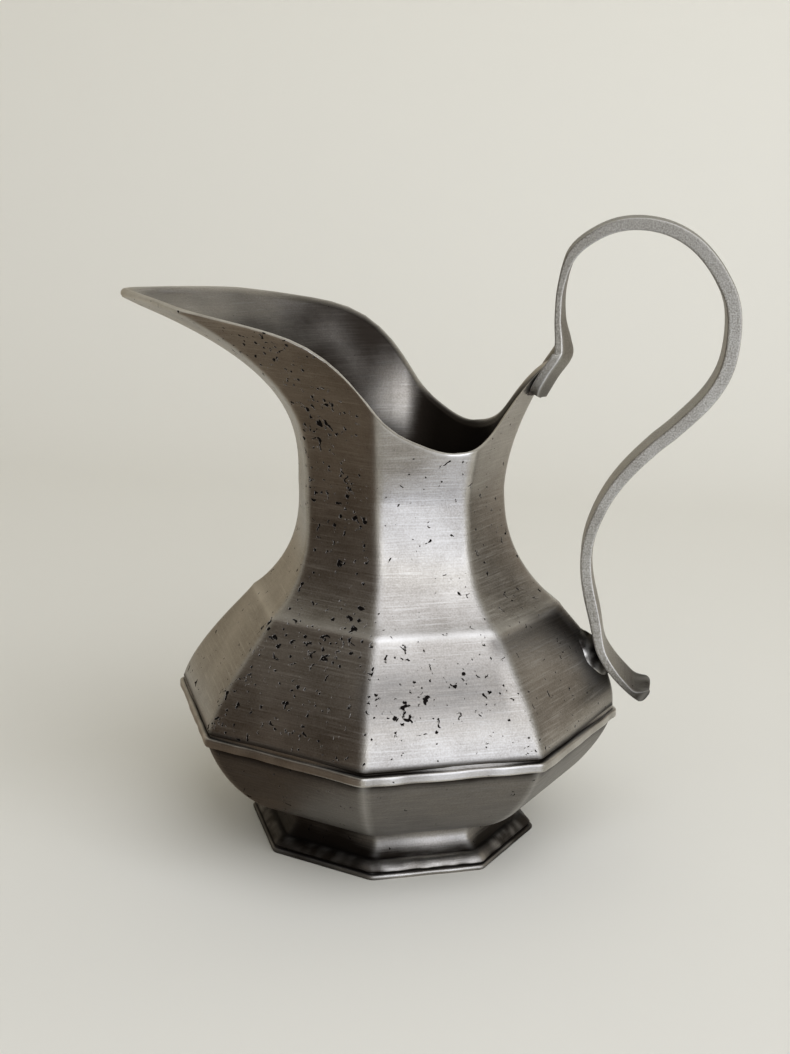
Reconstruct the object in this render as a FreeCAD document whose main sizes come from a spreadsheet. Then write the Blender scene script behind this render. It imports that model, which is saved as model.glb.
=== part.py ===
import FreeCAD, Part
import math
import os
import Sketcher

# Octagonal cast pewter pitcher: four castings joined by four solder seams.
# Origin at the centre of the foot's underside, +Z up, spout towards -X, handle towards +X.
# The octagon has a corner at the spout and a corner at the handle.

# Driving dimensions in millimetres; radii are measured to the corners of the octagon.
SIZES = (
    ("foot_radius", 44.5, "plinth of the foot"),
    ("plinth_height", 1.5, "upright edge of the plinth"),
    ("groove_radius", 40.9, "groove above the plinth"),
    ("groove_height", 0.8, "rise of the groove"),
    ("bead_radius", 41.8, "bead above the groove"),
    ("bead_height", 1.8, "rise of the bead"),
    ("bead_inset", 0.7, "inward slope of the bead's face"),
    ("cove_base_radius", 39.3, "foot of the cove"),
    ("cove_radius", 36.4, "waist of the cove"),
    ("foot_top_radius", 38.6, "top of the cove"),
    ("foot_height", 13.5, "underside of the bowl above the table"),
    ("foot_rim", 5.6, "width of the ring that the foot stands on"),
    ("foot_wall", 2.3, "wall at the waist of the cove"),
    ("foot_hollow_rise", 5.0, "height over which the hollow narrows"),
    ("foot_fillet", 1.2, "solder fillet between foot and bowl"),
    ("bowl_seat_radius", 41.0, "flat underside of the bowl"),
    ("bowl_drop_exponent", 1.3, "exponent of the bowl's drop"),
    ("bowl_turn_exponent", 0.6, "exponent of the bowl's turn under"),
    ("bowl_wall", 3.1, "wall of the bowl at its rim"),
    ("bowl_floor", 2.6, "floor of the bowl"),
    ("belt_radius", 68.0, "belt round the belly"),
    ("belt_underside", 39.0, "underside of the belt above the table"),
    ("belt_height", 2.7, "face of the belt"),
    ("belt_overhang", 1.4, "belt beyond the bowl below it"),
    ("belt_ledge", 1.0, "belt beyond the shoulder above it"),
    ("seam_depth", 1.6, "depth of the groove above the belt"),
    ("seam_height", 1.2, "height of the groove above the belt"),
    ("seam_fill", 0.9, "height of the solder in that groove"),
    ("seam_hollow", 0.25, "solder's set-back from the mouth of the groove"),
    ("ridge_radius", 46.6, "crease between shoulder and neck"),
    ("ridge_height", 73.9, "crease above the table"),
    ("shoulder_set", 2.2, "crease's set towards the handle"),
    ("shoulder_exponent", 1.4, "exponent of the shoulder's fall"),
    ("neck_radius", 31.3, "narrowest section of the neck"),
    ("neck_height", 108.0, "narrowest section above the table"),
    ("neck_exponent", 2.6, "exponent of the neck's lower flare"),
    ("wall", 2.3, "cast wall of the upper body"),
    ("mouth_height", 160.0, "underside of the spout's lip above the table"),
    ("lip_height", 2.6, "upright edge of the spout's lip"),
    ("lip_land", 1.2, "top of the spout's lip"),
    ("spout_floor", 1.6, "floor of the spout above its underside"),
    ("spout_reach", 84.5, "spout corner from the neck's axis"),
    ("spout_exponent", 2.8, "exponent of the spout corner's flare"),
    ("cheek_reach", 57.5, "cheek corner from the neck's axis, along X"),
    ("cheek_spread", 32.0, "cheek corner from the neck's axis, along Y"),
    ("cheek_exponent", 2.9, "exponent of the cheek corner's flare along X"),
    ("side_spread", 60.0, "side corner's full flare, along Y"),
    ("quarter_reach", 36.0, "rear quarter corner's full flare, along X"),
    ("quarter_spread", 35.0, "rear quarter corner's full flare, along Y"),
    ("side_exponent", 1.35, "exponent of the side and quarter corners' flare"),
    ("back_reach", 53.6, "back corner's full flare, along X"),
    ("back_exponent", 1.8, "exponent of the back corner's flare"),
    ("rim_dip", 39.0, "lowest pole of the side rim below the lip"),
    ("back_drop", 12.3, "rear peak of the rim below the lip"),
    ("rim_stock", 8.0, "metal above the lip that the rim cut takes away"),
    ("strap_width", 13.0, "handle strap"),
    ("strap_thickness", 3.2, "handle strap at its edges"),
    ("strap_crown", 1.0, "swell of the strap's outer face"),
    ("tab_width", 18.0, "upper tab of the handle"),
    ("tab_thickness", 2.6, "upper tab of the handle"),
    ("tab_length", 12.0, "height of the tab on the neck"),
    ("tab_drop", 0.6, "top of the tab's joint below the rear peak"),
    ("loop_rise", 36.9, "top of the handle's loop above the rear peak"),
    ("loop_reach", 46.3, "outer side of the loop from the rear peak"),
    ("leg_rise", 37.7, "top of the handle's lower leg above its joint"),
    ("leg_bow", 4.4, "lower leg's bow towards the neck"),
    ("tail_width", 21.0, "lower end of the handle"),
    ("tail_thickness", 4.0, "lower end of the handle"),
    ("tail_contact", 59.5, "middle of the lower joint above the table"),
    ("tail_contact_length", 4.6, "height of the lower joint"),
    ("tail_reach", 15.7, "end of the handle beyond its lower joint"),
    ("tail_drop", 9.9, "end of the handle below its lower joint"),
    ("solder_gap", 0.35, "gap that solder fills between handle and body"),
    ("solder_margin", 1.3, "set-back of the solder from the handle's edges"),
    ("solder_bite", 0.9, "depth that the solder's blank reaches into the body"),
)

doc = FreeCAD.newDocument("pewter_pitcher")
sheet = doc.addObject("Spreadsheet::Sheet", "Sizes")
for row, (alias, number, note) in enumerate(SIZES, start=1):
    sheet.set("A%d" % row, alias)
    sheet.set("B%d" % row, str(number))
    sheet.set("C%d" % row, note)
    sheet.setAlias("B%d" % row, alias)
doc.recompute()


def named(formula):
    """Write sheet names in full, so that a formula can be bound to a feature."""
    words = formula
    for alias, _, _ in sorted(SIZES, key=lambda item: -len(item[0])):
        words = words.replace("<" + alias + ">", "<<Sizes>>." + alias)
    return words


def number(formula):
    """A formula's present value."""
    return float(sheet.evalExpression(named(formula)))


# Sketches and lofts

def new_body(label):
    body = doc.addObject("PartDesign::Body", label)
    body.Label = label
    return body


def attached_sketch(body, name, role):
    sketch = body.newObject("Sketcher::SketchObject", name)
    plane = [item for item in body.Origin.OriginFeatures if item.Role == role][0]
    sketch.AttachmentSupport = [(plane, "")]
    sketch.MapMode = "FlatFace"
    return sketch


def pin_point(sketch, geometry, position, across, up):
    """Hold a sketch point at two formulas."""
    for kind, formula in (("DistanceX", across), ("DistanceY", up)):
        constraint = Sketcher.Constraint(kind, -1, 1, geometry, position, number(formula))
        index = sketch.addConstraint(constraint)
        sketch.setExpression("Constraints[%d]" % index, named(formula))


def draw_polygon(sketch, corners):
    """A closed polygon through formula corners."""
    points = [FreeCAD.Vector(number(x), number(y), 0) for x, y in corners]
    count = len(points)
    for start in range(count):
        sketch.addGeometry(Part.LineSegment(points[start], points[(start + 1) % count]))
    for start in range(count):
        after = (start + 1) % count
        sketch.addConstraint(Sketcher.Constraint("Coincident", start, 2, after, 1))
    for start, (x, y) in enumerate(corners):
        pin_point(sketch, start, 1, x, y)


def polygon(body, name, corners, height):
    """A polygon on a level plane at a formula height."""
    sketch = attached_sketch(body, name, "XY_Plane")
    draw_polygon(sketch, corners)
    sketch.setExpression(".AttachmentOffset.Base.z", named(height))
    return sketch


def octagon(radius, shift="0"):
    """Corners of a regular octagon, the first towards the handle."""
    corners = []
    for step in range(8):
        turn = "%d deg" % (45 * step)
        across = "(%s) * cos(%s) + %s" % (radius, turn, shift)
        corners.append((across, "(%s) * sin(%s)" % (radius, turn)))
    return corners


def loft(body, name, sections, kind="PartDesign::AdditiveLoft", ruled=False):
    """Loft through (corners, height) sections."""
    sketches = []
    for step, (corners, height) in enumerate(sections):
        sketches.append(polygon(body, "%s_%d" % (name, step), corners, height))
    feature = body.newObject(kind, name)
    feature.Profile = sketches[0]
    feature.Sections = sketches[1:]
    feature.Ruled = ruled
    doc.recompute()
    return feature


def hollow(body, name, sections, ruled=False):
    """Cut a loft out of a body and see that it removed metal."""
    before = body.Shape.Volume
    feature = loft(body, name, sections, "PartDesign::SubtractiveLoft", ruled)
    if not body.Shape.Volume < before:
        raise RuntimeError(name + " removed nothing")
    return feature


# Foot: plinth, groove, bead and cove, hollow beneath

GROOVE_TOP = "<plinth_height> + <groove_height>"
BEAD_TOP = GROOVE_TOP + " + <bead_height>"
COVE_STATIONS = (0.0, 0.25, 0.5, 0.75, 1.0)


def cove_section(share):
    """The cove is a parabola through its foot, its waist and its top."""
    base = 2 * (share - 0.5) * (share - 1)
    waist = 4 * share * (1 - share)
    top = 2 * share * (share - 0.5)
    radius = "%g * <cove_base_radius> + %g * <cove_radius> + %g * <foot_top_radius>" % (base, waist, top)
    height = "(%s) + %g * (<foot_height> - (%s))" % (BEAD_TOP, share, BEAD_TOP)
    return octagon(radius), height


def make_foot():
    body = new_body("foot")
    loft(body, "plinth", [(octagon("<foot_radius>"), "0"),
                          (octagon("<foot_radius>"), "<plinth_height>")], ruled=True)
    loft(body, "foot_groove", [(octagon("<foot_radius> - <groove_height>"), "<plinth_height>"),
                               (octagon("<groove_radius>"), GROOVE_TOP)], ruled=True)
    loft(body, "foot_bead", [(octagon("<bead_radius>"), GROOVE_TOP),
                             (octagon("<bead_radius> - <bead_inset>"), BEAD_TOP)], ruled=True)
    loft(body, "cove", [cove_section(share) for share in COVE_STATIONS])
    waist_inside = octagon("<cove_radius> - <foot_wall>")
    hollow(body, "foot_hollow", [(octagon("<foot_radius> - <foot_rim>"), "0"),
                                 (waist_inside, "<foot_hollow_rise>"),
                                 (waist_inside, "<foot_height>")], ruled=True)
    return body


# Lower bowl: a full octagonal bowl that turns under to its flat seat, with the belt at its rim

BELT_TOP = "<belt_underside> + <belt_height>"
BELLY = "(<belt_radius> - <belt_ledge>)"
INNER_BELLY = BELLY + " - <bowl_wall>"
FLOOR = "<foot_height> + <bowl_floor>"
BOWL_STEPS = 7


def bowl_section(step, rim, seat, bottom):
    """Section of a bowl between its rim below the belt and its floor."""
    drop = math.sin(math.pi / 2 * step / BOWL_STEPS)
    turn = "(1 - %g^<bowl_drop_exponent>)^<bowl_turn_exponent>" % drop
    radius = "(%s) + (%s - (%s)) * %s" % (seat, rim, seat, turn)
    if step == BOWL_STEPS:
        radius = seat
    height = "<belt_underside> - %g * (<belt_underside> - (%s))" % (drop, bottom)
    return octagon(radius), height


def make_lower_bowl():
    body = new_body("lower_bowl")
    steps = range(BOWL_STEPS, -1, -1)
    outside = ("(<belt_radius> - <belt_overhang>)", "<bowl_seat_radius>", "<foot_height>")
    inside = ("(%s)" % INNER_BELLY, "<bowl_seat_radius> - <bowl_floor>", FLOOR)
    loft(body, "bowl_outside", [bowl_section(step, *outside) for step in steps])
    loft(body, "belt", [(octagon("<belt_radius>"), "<belt_underside>"),
                        (octagon("<belt_radius>"), BELT_TOP)], ruled=True)
    hollow(body, "bowl_inside", [bowl_section(step, *inside) for step in steps])
    hollow(body, "belt_inside", [(octagon(INNER_BELLY), "<belt_underside>"),
                                 (octagon(INNER_BELLY), BELT_TOP)], ruled=True)
    return body


# Upper body: convex shoulder, crease, concave neck, and a mouth whose corners flare by different amounts

SEAM_TOP = BELT_TOP + " + <seam_height>"
SHOULDER_STATIONS = (0.0, 0.2, 0.4, 0.6, 0.8, 1.0)
NECK_STATIONS = (1.0, 0.93, 0.84, 0.7, 0.5, 0.25)
FLARE_STATIONS = (0.0, 0.2, 0.4, 0.56, 0.7, 0.81, 0.9, 0.96, 1.0)


def shoulder_fall(share):
    """Corner radius between the belt, share 0, and the crease, share 1."""
    return "(%s - (%s - <ridge_radius>) * (%s)^<shoulder_exponent>)" % (BELLY, BELLY, share)


def shoulder_section(share, inset):
    """Regular octagon between the belt and the crease."""
    radius = "%s - (%s)" % (shoulder_fall("%g" % share), inset)
    height = "(%s) + %g * (<ridge_height> - (%s))" % (SEAM_TOP, share, SEAM_TOP)
    return octagon(radius, "<shoulder_set> * %g" % share), height


def neck_section(share, inset):
    """Regular octagon between the crease, share 1, and the narrowest neck, share 0."""
    flare = "(<ridge_radius> - <neck_radius>) * %g^<neck_exponent>" % share
    radius = "<neck_radius> + %s - (%s)" % (flare, inset)
    height = "<neck_height> - %g * (<neck_height> - <ridge_height>)" % share
    return octagon(radius, "<shoulder_set> * %g" % share), height


def flared(neck, mouth, share, exponent):
    """A corner's coordinate on its way from the neck to the mouth."""
    return "(%s + (%s - (%s)) * (%s)^%s)" % (neck, mouth, neck, share, exponent)


def mouth_section(share, inset, lip, top):
    """Section between the neck, share 0, and the mouth, share 1."""
    height = "<neck_height> + %g * (%s - <neck_height>)" % (share, top)
    share = "%g" % share
    ring = "(<neck_radius> - (%s))" % inset
    slant = "%s * cos(45 deg)" % ring
    side = "(%s)" % inset
    spout = flared(ring, "(<spout_reach> - (%s))" % lip, share, "<spout_exponent>")
    cheek_x = flared(slant, "(<cheek_reach> - (%s))" % lip, share, "<cheek_exponent>")
    cheek_y = flared(slant, "(<cheek_spread> - (%s))" % lip, share, "<side_exponent>")
    flank = flared(ring, "(<side_spread> - %s)" % side, share, "<side_exponent>")
    quarter_x = flared(slant, "(<quarter_reach> - %s)" % side, share, "<side_exponent>")
    quarter_y = flared(slant, "(<quarter_spread> - %s)" % side, share, "<side_exponent>")
    back = flared(ring, "(<back_reach> - %s)" % side, share, "<back_exponent>")
    half = [(back, "0"), (quarter_x, quarter_y), ("0", flank),
            ("-(%s)" % cheek_x, cheek_y), ("-(%s)" % spout, "0")]
    other = [(x, "-(%s)" % y) for x, y in half[3:0:-1]]
    return half + other, height


# Side view of the rim from the spout's lip, down to the dip, and up to the rear peak.
# Along is a share of the spout's reach or of the back's; fall is a share of the rim's dip or of the
# back's drop.
LIP = "<mouth_height> + <lip_height>"
UNTRIMMED = LIP + " + <rim_stock>"
RIM_POLES = (
    ("-1.10 * <spout_reach>", "-0.015 * <rim_dip>"),
    ("-0.77 * <spout_reach>", "0"),
    ("-0.545 * <spout_reach>", "0.087 * <rim_dip>"),
    ("-0.254 * <spout_reach>", "0.156 * <rim_dip>"),
    ("-0.077 * <spout_reach>", "0.49 * <rim_dip>"),
    ("0", "0.785 * <rim_dip>"),
    ("0.13 * <back_reach>", "0.905 * <rim_dip>"),
    ("0.54 * <back_reach>", "1.17 * <rim_dip>"),
    ("0.72 * <back_reach>", "0.756 * <back_drop>"),
    ("1.10 * <back_reach>", "<back_drop>"),
)


def cut_rim(body):
    """Trim the mouth to the line of the rim, seen from the side."""
    sketch = attached_sketch(body, "rim_line", "XZ_Plane")
    places = [(along, "%s - (%s)" % (LIP, fall)) for along, fall in RIM_POLES]
    poles = [FreeCAD.Vector(number(x), number(z), 0) for x, z in places]
    roof = LIP + " + 2 * <rim_stock>"
    curve = Part.BSplineCurve()
    curve.buildFromPoles(poles, False, 3)
    rim = sketch.addGeometry(curve)
    sketch.exposeInternalGeometry(rim)
    controls = [index for index, item in enumerate(sketch.Geometry) if isinstance(item, Part.Circle)]
    for control, (x, z) in zip(controls, places):
        pin_point(sketch, control, 3, x, z)
    above = [FreeCAD.Vector(pole.x, number(roof), 0) for pole in (poles[-1], poles[0])]
    path = [poles[-1], above[0], above[1], poles[0]]
    lines = [sketch.addGeometry(Part.LineSegment(path[step], path[step + 1])) for step in range(3)]
    chain = [rim] + lines
    for first, second in zip(chain, lines + [rim]):
        sketch.addConstraint(Sketcher.Constraint("Coincident", first, 2, second, 1))
    pin_point(sketch, lines[0], 2, places[-1][0], roof)
    pin_point(sketch, lines[1], 2, places[0][0], roof)
    pocket = body.newObject("PartDesign::Pocket", "rim_cut")
    pocket.Profile = sketch
    pocket.Midplane = True
    pocket.setExpression("Length", named("4 * <side_spread>"))
    before = body.Shape.Volume
    doc.recompute()
    if not body.Shape.Volume < before:
        raise RuntimeError("rim_cut removed nothing")


def make_upper_body():
    body = new_body("upper_body")
    loft(body, "seam_bevel", [(octagon(BELLY + " - <seam_depth>"), BELT_TOP),
                              (octagon(BELLY), SEAM_TOP)], ruled=True)
    loft(body, "shoulder", [shoulder_section(share, "0") for share in SHOULDER_STATIONS])
    neck = [neck_section(share, "0") for share in NECK_STATIONS]
    mouth = [mouth_section(share, "0", "0", "<mouth_height>") for share in FLARE_STATIONS]
    loft(body, "neck_and_spout", neck + mouth)
    brim = mouth[-1][0]
    loft(body, "lip", [(brim, "<mouth_height>"), (brim, UNTRIMMED)], ruled=True)
    base_inside = octagon("%s - %s" % (BELLY, "<bowl_wall>"))
    hollow(body, "seam_inside", [(base_inside, BELT_TOP), (base_inside, SEAM_TOP)], ruled=True)
    inside = [shoulder_section(share, "<bowl_wall>") for share in SHOULDER_STATIONS]
    hollow(body, "shoulder_inside", inside)
    inset = "<wall> + (<bowl_wall> - <wall>) * %g"
    neck = [neck_section(share, inset % share) for share in NECK_STATIONS]
    throat_top = "(<mouth_height> + <spout_floor>)"
    throat = [mouth_section(share, "<wall>", "<lip_land>", throat_top) for share in FLARE_STATIONS]
    hollow(body, "throat", neck + throat)
    hollow(body, "lip_inside", [(throat[-1][0], throat_top), (throat[-1][0], UNTRIMMED)], ruled=True)
    cut_rim(body)
    return body


# Handle: one strap from a folded tab on the back of the neck, over the loop and down to a curled tail

PEAK_Z = "(%s - <back_drop>)" % LIP
# Loop stations from the rear peak: share of the reach, share of the rise, share of the strap's
# thickness, share of the tab's extra width, share of the tab's fold.
LOOP_STATIONS = (
    (0.009, 0.081, 0.74, 0.60, 0.70),
    (-0.026, 0.263, 0.60, 0.20, 0.38),
    (-0.030, 0.507, 0.63, 0.0, 0.19),
    (0.026, 0.759, 0.81, 0.0, 0.0),
    (0.190, 0.932, 1.0, 0.0, 0.0),
    (0.376, 1.0, 1.15, 0.0, 0.0),
    (0.583, 0.970, 1.15, 0.0, 0.0),
    (0.762, 0.843, 1.09, 0.0, 0.0),
    (0.909, 0.621, 1.03, 0.0, 0.0),
    (1.0, 0.360, 1.03, 0.0, 0.0),
    (0.996, -0.008, 1.0, 0.0, 0.0),
    (0.905, -0.279, 0.97, 0.0, 0.0),
    (0.713, -0.553, 0.94, 0.0, 0.0),
    (0.482, -0.821, 0.88, 0.0, 0.0),
    (0.307, -1.100, 0.80, 0.0, 0.0),
)
# Lower leg stations from the lower joint: share of the bow, share of the rise, share of the strap's
# thickness, share of the tail's extra width.
LEG_STATIONS = (
    (-0.77, 1.0, 0.76, 0.0),
    (-1.0, 0.782, 0.78, 0.0),
    (-0.75, 0.504, 0.84, 0.05),
    (-0.18, 0.279, 0.93, 0.25),
)
# Tail stations beyond the lower joint: share of the reach, share of the drop, share of the tail's
# thickness.
TAIL_STATIONS = (
    (0.48, 0.53, 0.78),
    (0.745, 0.80, 0.87),
    (1.0, 1.0, 1.0),
)


def flare_share(height):
    """Place of a formula height between the neck, 0, and the mouth, 1."""
    return "((%s) - <neck_height>) / (<mouth_height> - <neck_height>)" % height


def back_arris(height):
    """Back corner of the neck at a formula height."""
    return flared("<neck_radius>", "<back_reach>", flare_share(height), "<back_exponent>")


def back_fall(height):
    """Fall of the neck's rear panels towards the spout for each millimetre to the side."""
    slant = "<neck_radius> * cos(45 deg)"
    quarter_x = flared(slant, "<quarter_reach>", flare_share(height), "<side_exponent>")
    quarter_y = flared(slant, "<quarter_spread>", flare_share(height), "<side_exponent>")
    return "((%s - %s) / %s)" % (back_arris(height), quarter_x, quarter_y)


def shoulder_arris(height):
    """Handle-side corner of the shoulder at a formula height."""
    share = "((%s) - (%s)) / (<ridge_height> - (%s))" % (height, SEAM_TOP, SEAM_TOP)
    return "(%s + <shoulder_set> * %s)" % (shoulder_fall(share), share)


def outward(arris, height):
    """Unit vector square to a corner line of the body in the plane of the handle."""
    step = number("<solder_gap>")
    run = number(arris("%s + %g" % (height, step))) - number(arris("%s - %g" % (height, step)))
    length = math.hypot(run, 2 * step)
    return 2 * step / length, -run / length


def seated(arris, height, thickness):
    """Centre of a strap that lies on a corner line with the solder's gap beneath it."""
    across, up = outward(arris, height)
    lift = "(<solder_gap> + (%s) / 2)" % thickness
    return "%s + %g * %s" % (arris(height), across, lift), "%s + %g * %s" % (height, up, lift)


def handle_stations():
    """Centre, thickness, width, fold and crown of every section from tab to tail."""
    stations = []
    for share in (1.0, 0.5, 0.0):
        height = "%s - <tab_drop> - %g * <tab_length>" % (PEAK_Z, share)
        x, z = seated(back_arris, height, "<tab_thickness>")
        tab_fold = "<tab_width> / 2 * %g * %s" % (outward(back_arris, height)[0], back_fall(height))
        stations.append((x, z, "<tab_thickness>", "<tab_width>", tab_fold, "0"))
    for along, rise, thick, wide, fold in LOOP_STATIONS:
        x = "%s + %g * <loop_reach>" % (back_arris(PEAK_Z), along)
        z = "%s + %g * <loop_rise>" % (PEAK_Z, rise)
        width = "<strap_width> + %g * (<tab_width> - <strap_width>)" % wide
        crown = "%g * <strap_crown>" % (1.0 if fold == 0 else 0.0)
        thickness = "%g * <strap_thickness>" % thick
        stations.append((x, z, thickness, width, "%g * %s" % (fold, tab_fold), crown))
    joint_x = shoulder_arris("<tail_contact>")
    for bow, rise, thick, wide in LEG_STATIONS:
        x = "%s + %g * <leg_bow>" % (joint_x, bow)
        width = "<strap_width> + %g * (<tail_width> - <strap_width>)" % wide
        z = "<tail_contact> + %g * <leg_rise>" % rise
        stations.append((x, z, "%g * <strap_thickness>" % thick, width, "0", "<strap_crown>"))
    for side, wide in ((0.5, 0.45), (-0.5, 0.65)):
        height = "<tail_contact> + %g * <tail_contact_length>" % side
        x, z = seated(shoulder_arris, height, "<strap_thickness>")
        width = "<strap_width> + %g * (<tail_width> - <strap_width>)" % wide
        stations.append((x, z, "<strap_thickness>", width, "0", "<strap_crown>"))
    for along, drop, thick in TAIL_STATIONS:
        x = "%s + %g * <tail_reach>" % (joint_x, along)
        z = "<tail_contact> - %g * <tail_drop>" % drop
        width = "<tail_width> - %g * (<tail_width> - <strap_width>)" % (0.2 * (1 - along))
        stations.append((x, z, "%g * <tail_thickness>" % thick, width, "0", "0"))
    return stations


def between(first, second, third, fourth):
    """A station halfway from the second to the third on a smooth curve through all four."""
    middle = []
    for part in range(2):
        ends = "(%s) + (%s)" % (first[part], fourth[part])
        middle.append("(9 * (%s) + 9 * (%s) - (%s)) / 16" % (second[part], third[part], ends))
    for part in range(2, 6):
        middle.append("((%s) + (%s)) / 2" % (second[part], third[part]))
    return tuple(middle)


def refined(stations):
    """The stations with one more between each pair."""
    ends = [stations[0]] + stations + [stations[-1]]
    finer = []
    for step in range(len(stations) - 1):
        finer.append(stations[step])
        finer.append(between(*ends[step:step + 4]))
    return finer + [stations[-1]]


def strap_section(name, station, turn):
    """A six-sided section square to the strap; its first side faces left of the way along it."""
    x, z, thickness, width, fold, crown = station
    side = "(%s) / 2" % width
    left = "(%s) / 2" % thickness
    outer_edge = "%s + %s" % (left, fold)
    inner_edge = "-(%s) + %s" % (left, fold)
    corners = [("%s + %s" % (left, crown), "0"), (outer_edge, side), (inner_edge, side),
               ("-(%s)" % left, "0"), (inner_edge, "-(%s)" % side), (outer_edge, "-(%s)" % side)]
    sketch = doc.addObject("Sketcher::SketchObject", name)
    draw_polygon(sketch, corners)
    tilt = FreeCAD.Rotation(FreeCAD.Vector(0, 1, 0), turn)
    sketch.Placement = FreeCAD.Placement(FreeCAD.Vector(number(x), 0, number(z)), tilt)
    sketch.setExpression(".Placement.Base.x", named(x))
    sketch.setExpression(".Placement.Base.z", named(z))
    return sketch


def make_handle():
    stations = refined(handle_stations())
    centres = [FreeCAD.Vector(number(item[0]), 0, number(item[1])) for item in stations]
    sketches = []
    for step, station in enumerate(stations):
        before = centres[max(step - 1, 0)]
        after = centres[min(step + 1, len(centres) - 1)]
        way = (after - before).normalize()
        turn = math.degrees(math.atan2(-way.x, -way.z))
        sketches.append(strap_section("strap_%d" % step, station, turn))
    strap = doc.addObject("Part::Loft", "handle")
    strap.Sections = sketches
    strap.Solid = True
    strap.Ruled = True
    doc.recompute()
    return strap


# Solder: a bead round the belly, a fillet under the bowl and a bed under each end of the handle

def make_belly_solder():
    body = new_body("belly_seam_solder")
    top = BELT_TOP + " + <seam_fill>"
    loft(body, "belly_bead", [(octagon(BELLY), BELT_TOP),
                              (octagon(BELLY + " - <seam_hollow>"), top)], ruled=True)
    depth = "<seam_depth> * (1 - <seam_fill> / <seam_height>)"
    hollow(body, "belly_bead_inside", [(octagon(BELLY + " - <seam_depth>"), BELT_TOP),
                                       (octagon("%s - %s" % (BELLY, depth)), top)], ruled=True)
    return body


def without(label, blank, *tools):
    """A blank less the bodies that it touches."""
    piece = blank
    for tool in tools:
        cut = doc.addObject("Part::Cut", "%s_less_%s" % (label, tool.Label))
        cut.Base = piece
        cut.Tool = tool
        piece = cut
    piece.Label = label
    doc.recompute()
    return piece


def make_foot_solder(foot):
    blank = new_body("foot_seam_blank")
    bottom = "<foot_height> - <foot_fillet>"
    outside = octagon("<foot_top_radius> + <foot_fillet>")
    loft(blank, "foot_seam", [(octagon("<cove_radius>"), bottom),
                              (outside, "<foot_height>")], ruled=True)
    mid_wall = octagon("<cove_radius> - <foot_wall> / 2")
    hollow(blank, "foot_seam_inside", [(mid_wall, bottom), (mid_wall, "<foot_height>")], ruled=True)
    return without("foot_seam_solder", blank, foot)


def back_bed(height, half_width, thickness):
    """A folded layer over the back corner of the neck, from inside its wall to outside it."""
    inner = "%s - <solder_bite>" % back_arris(height)
    outer = "%s + %s" % (back_arris(height), thickness)
    fold = "%s * %s" % (half_width, back_fall(height))
    inner_edge = "%s - %s" % (inner, fold)
    outer_edge = "%s - %s" % (outer, fold)
    corners = [(outer, "0"), (outer_edge, half_width), (inner_edge, half_width),
               (inner, "0"), (inner_edge, "-" + half_width), (outer_edge, "-" + half_width)]
    return corners, height


def make_upper_solder(upper_body, handle):
    blank = new_body("handle_upper_blank")
    top = "%s - <tab_drop> - <tab_length> / 2" % PEAK_Z
    bottom = "%s - <tab_drop> - <tab_length>" % PEAK_Z
    wide = "(<tab_width> / 2 - <solder_margin>)"
    narrow = "(<tab_width> / 4)"
    thickness = "(<solder_gap> + <solder_margin>)"
    loft(blank, "tab_bed", [back_bed(bottom, wide, thickness),
                            back_bed(top, narrow, thickness)], ruled=True)
    return without("handle_upper_solder", blank, upper_body, handle)


def make_lower_solder(upper_body, handle):
    blank = new_body("handle_lower_blank")
    wide = "(<strap_width> / 2 - <solder_margin>)"
    sections = []
    for side in (-0.5, 0.0, 0.5):
        height = "<tail_contact> + %g * <tail_contact_length>" % side
        face = "%s + <solder_gap> + <solder_margin>" % shoulder_arris(height)
        back = "%s - <solder_bite>" % shoulder_arris(height)
        fold = "%s * tan(22.5 deg)" % wide
        sections.append(([(face, wide), ("%s - %s" % (back, fold), wide), (back, "0"),
                          ("%s - %s" % (back, fold), "-%s" % wide), (face, "-%s" % wide)], height))
    loft(blank, "tail_bed", sections, ruled=True)
    return without("handle_lower_solder", blank, upper_body, handle)


upper_body = make_upper_body()
lower_bowl = make_lower_bowl()
foot = make_foot()
handle = make_handle()
pieces = [upper_body, lower_bowl, foot, handle, make_belly_solder(), make_foot_solder(foot),
          make_upper_solder(upper_body, handle), make_lower_solder(upper_body, handle)]
doc.recompute()
for item in doc.Objects:
    if "Invalid" in item.State or "Error" in item.State:
        raise RuntimeError("%s is in error: %s" % (item.Label, item.State))
os.makedirs("parts", exist_ok=True)
for piece in pieces:
    shape = piece.Shape
    if shape.isNull() or not shape.isValid():
        raise RuntimeError(piece.Label + " has no valid shape")
    shape.exportStep("parts/%s.step" % piece.Label)
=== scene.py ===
import bmesh
import bpy
import math
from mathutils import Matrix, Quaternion, Vector, noise


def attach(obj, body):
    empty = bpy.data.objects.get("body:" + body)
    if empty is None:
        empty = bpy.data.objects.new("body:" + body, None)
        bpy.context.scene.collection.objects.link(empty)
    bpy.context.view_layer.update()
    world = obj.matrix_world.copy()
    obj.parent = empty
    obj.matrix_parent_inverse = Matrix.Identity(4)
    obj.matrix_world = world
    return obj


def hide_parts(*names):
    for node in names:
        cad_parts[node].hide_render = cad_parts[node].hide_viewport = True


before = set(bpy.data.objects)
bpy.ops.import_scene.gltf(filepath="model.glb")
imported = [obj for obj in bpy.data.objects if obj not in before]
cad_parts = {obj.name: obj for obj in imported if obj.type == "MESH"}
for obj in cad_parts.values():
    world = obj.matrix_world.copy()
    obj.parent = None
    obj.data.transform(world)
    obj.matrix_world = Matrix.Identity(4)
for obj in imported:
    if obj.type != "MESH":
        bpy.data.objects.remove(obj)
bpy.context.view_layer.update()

# Octagonal pewter pitcher: four castings, four solder seams. All sizes here are in millimetres,
# in the frame of the solids: foot on z = 0, spout towards -X, handle towards +X.
MM = 0.001
COS_45 = math.cos(math.radians(45))

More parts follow.
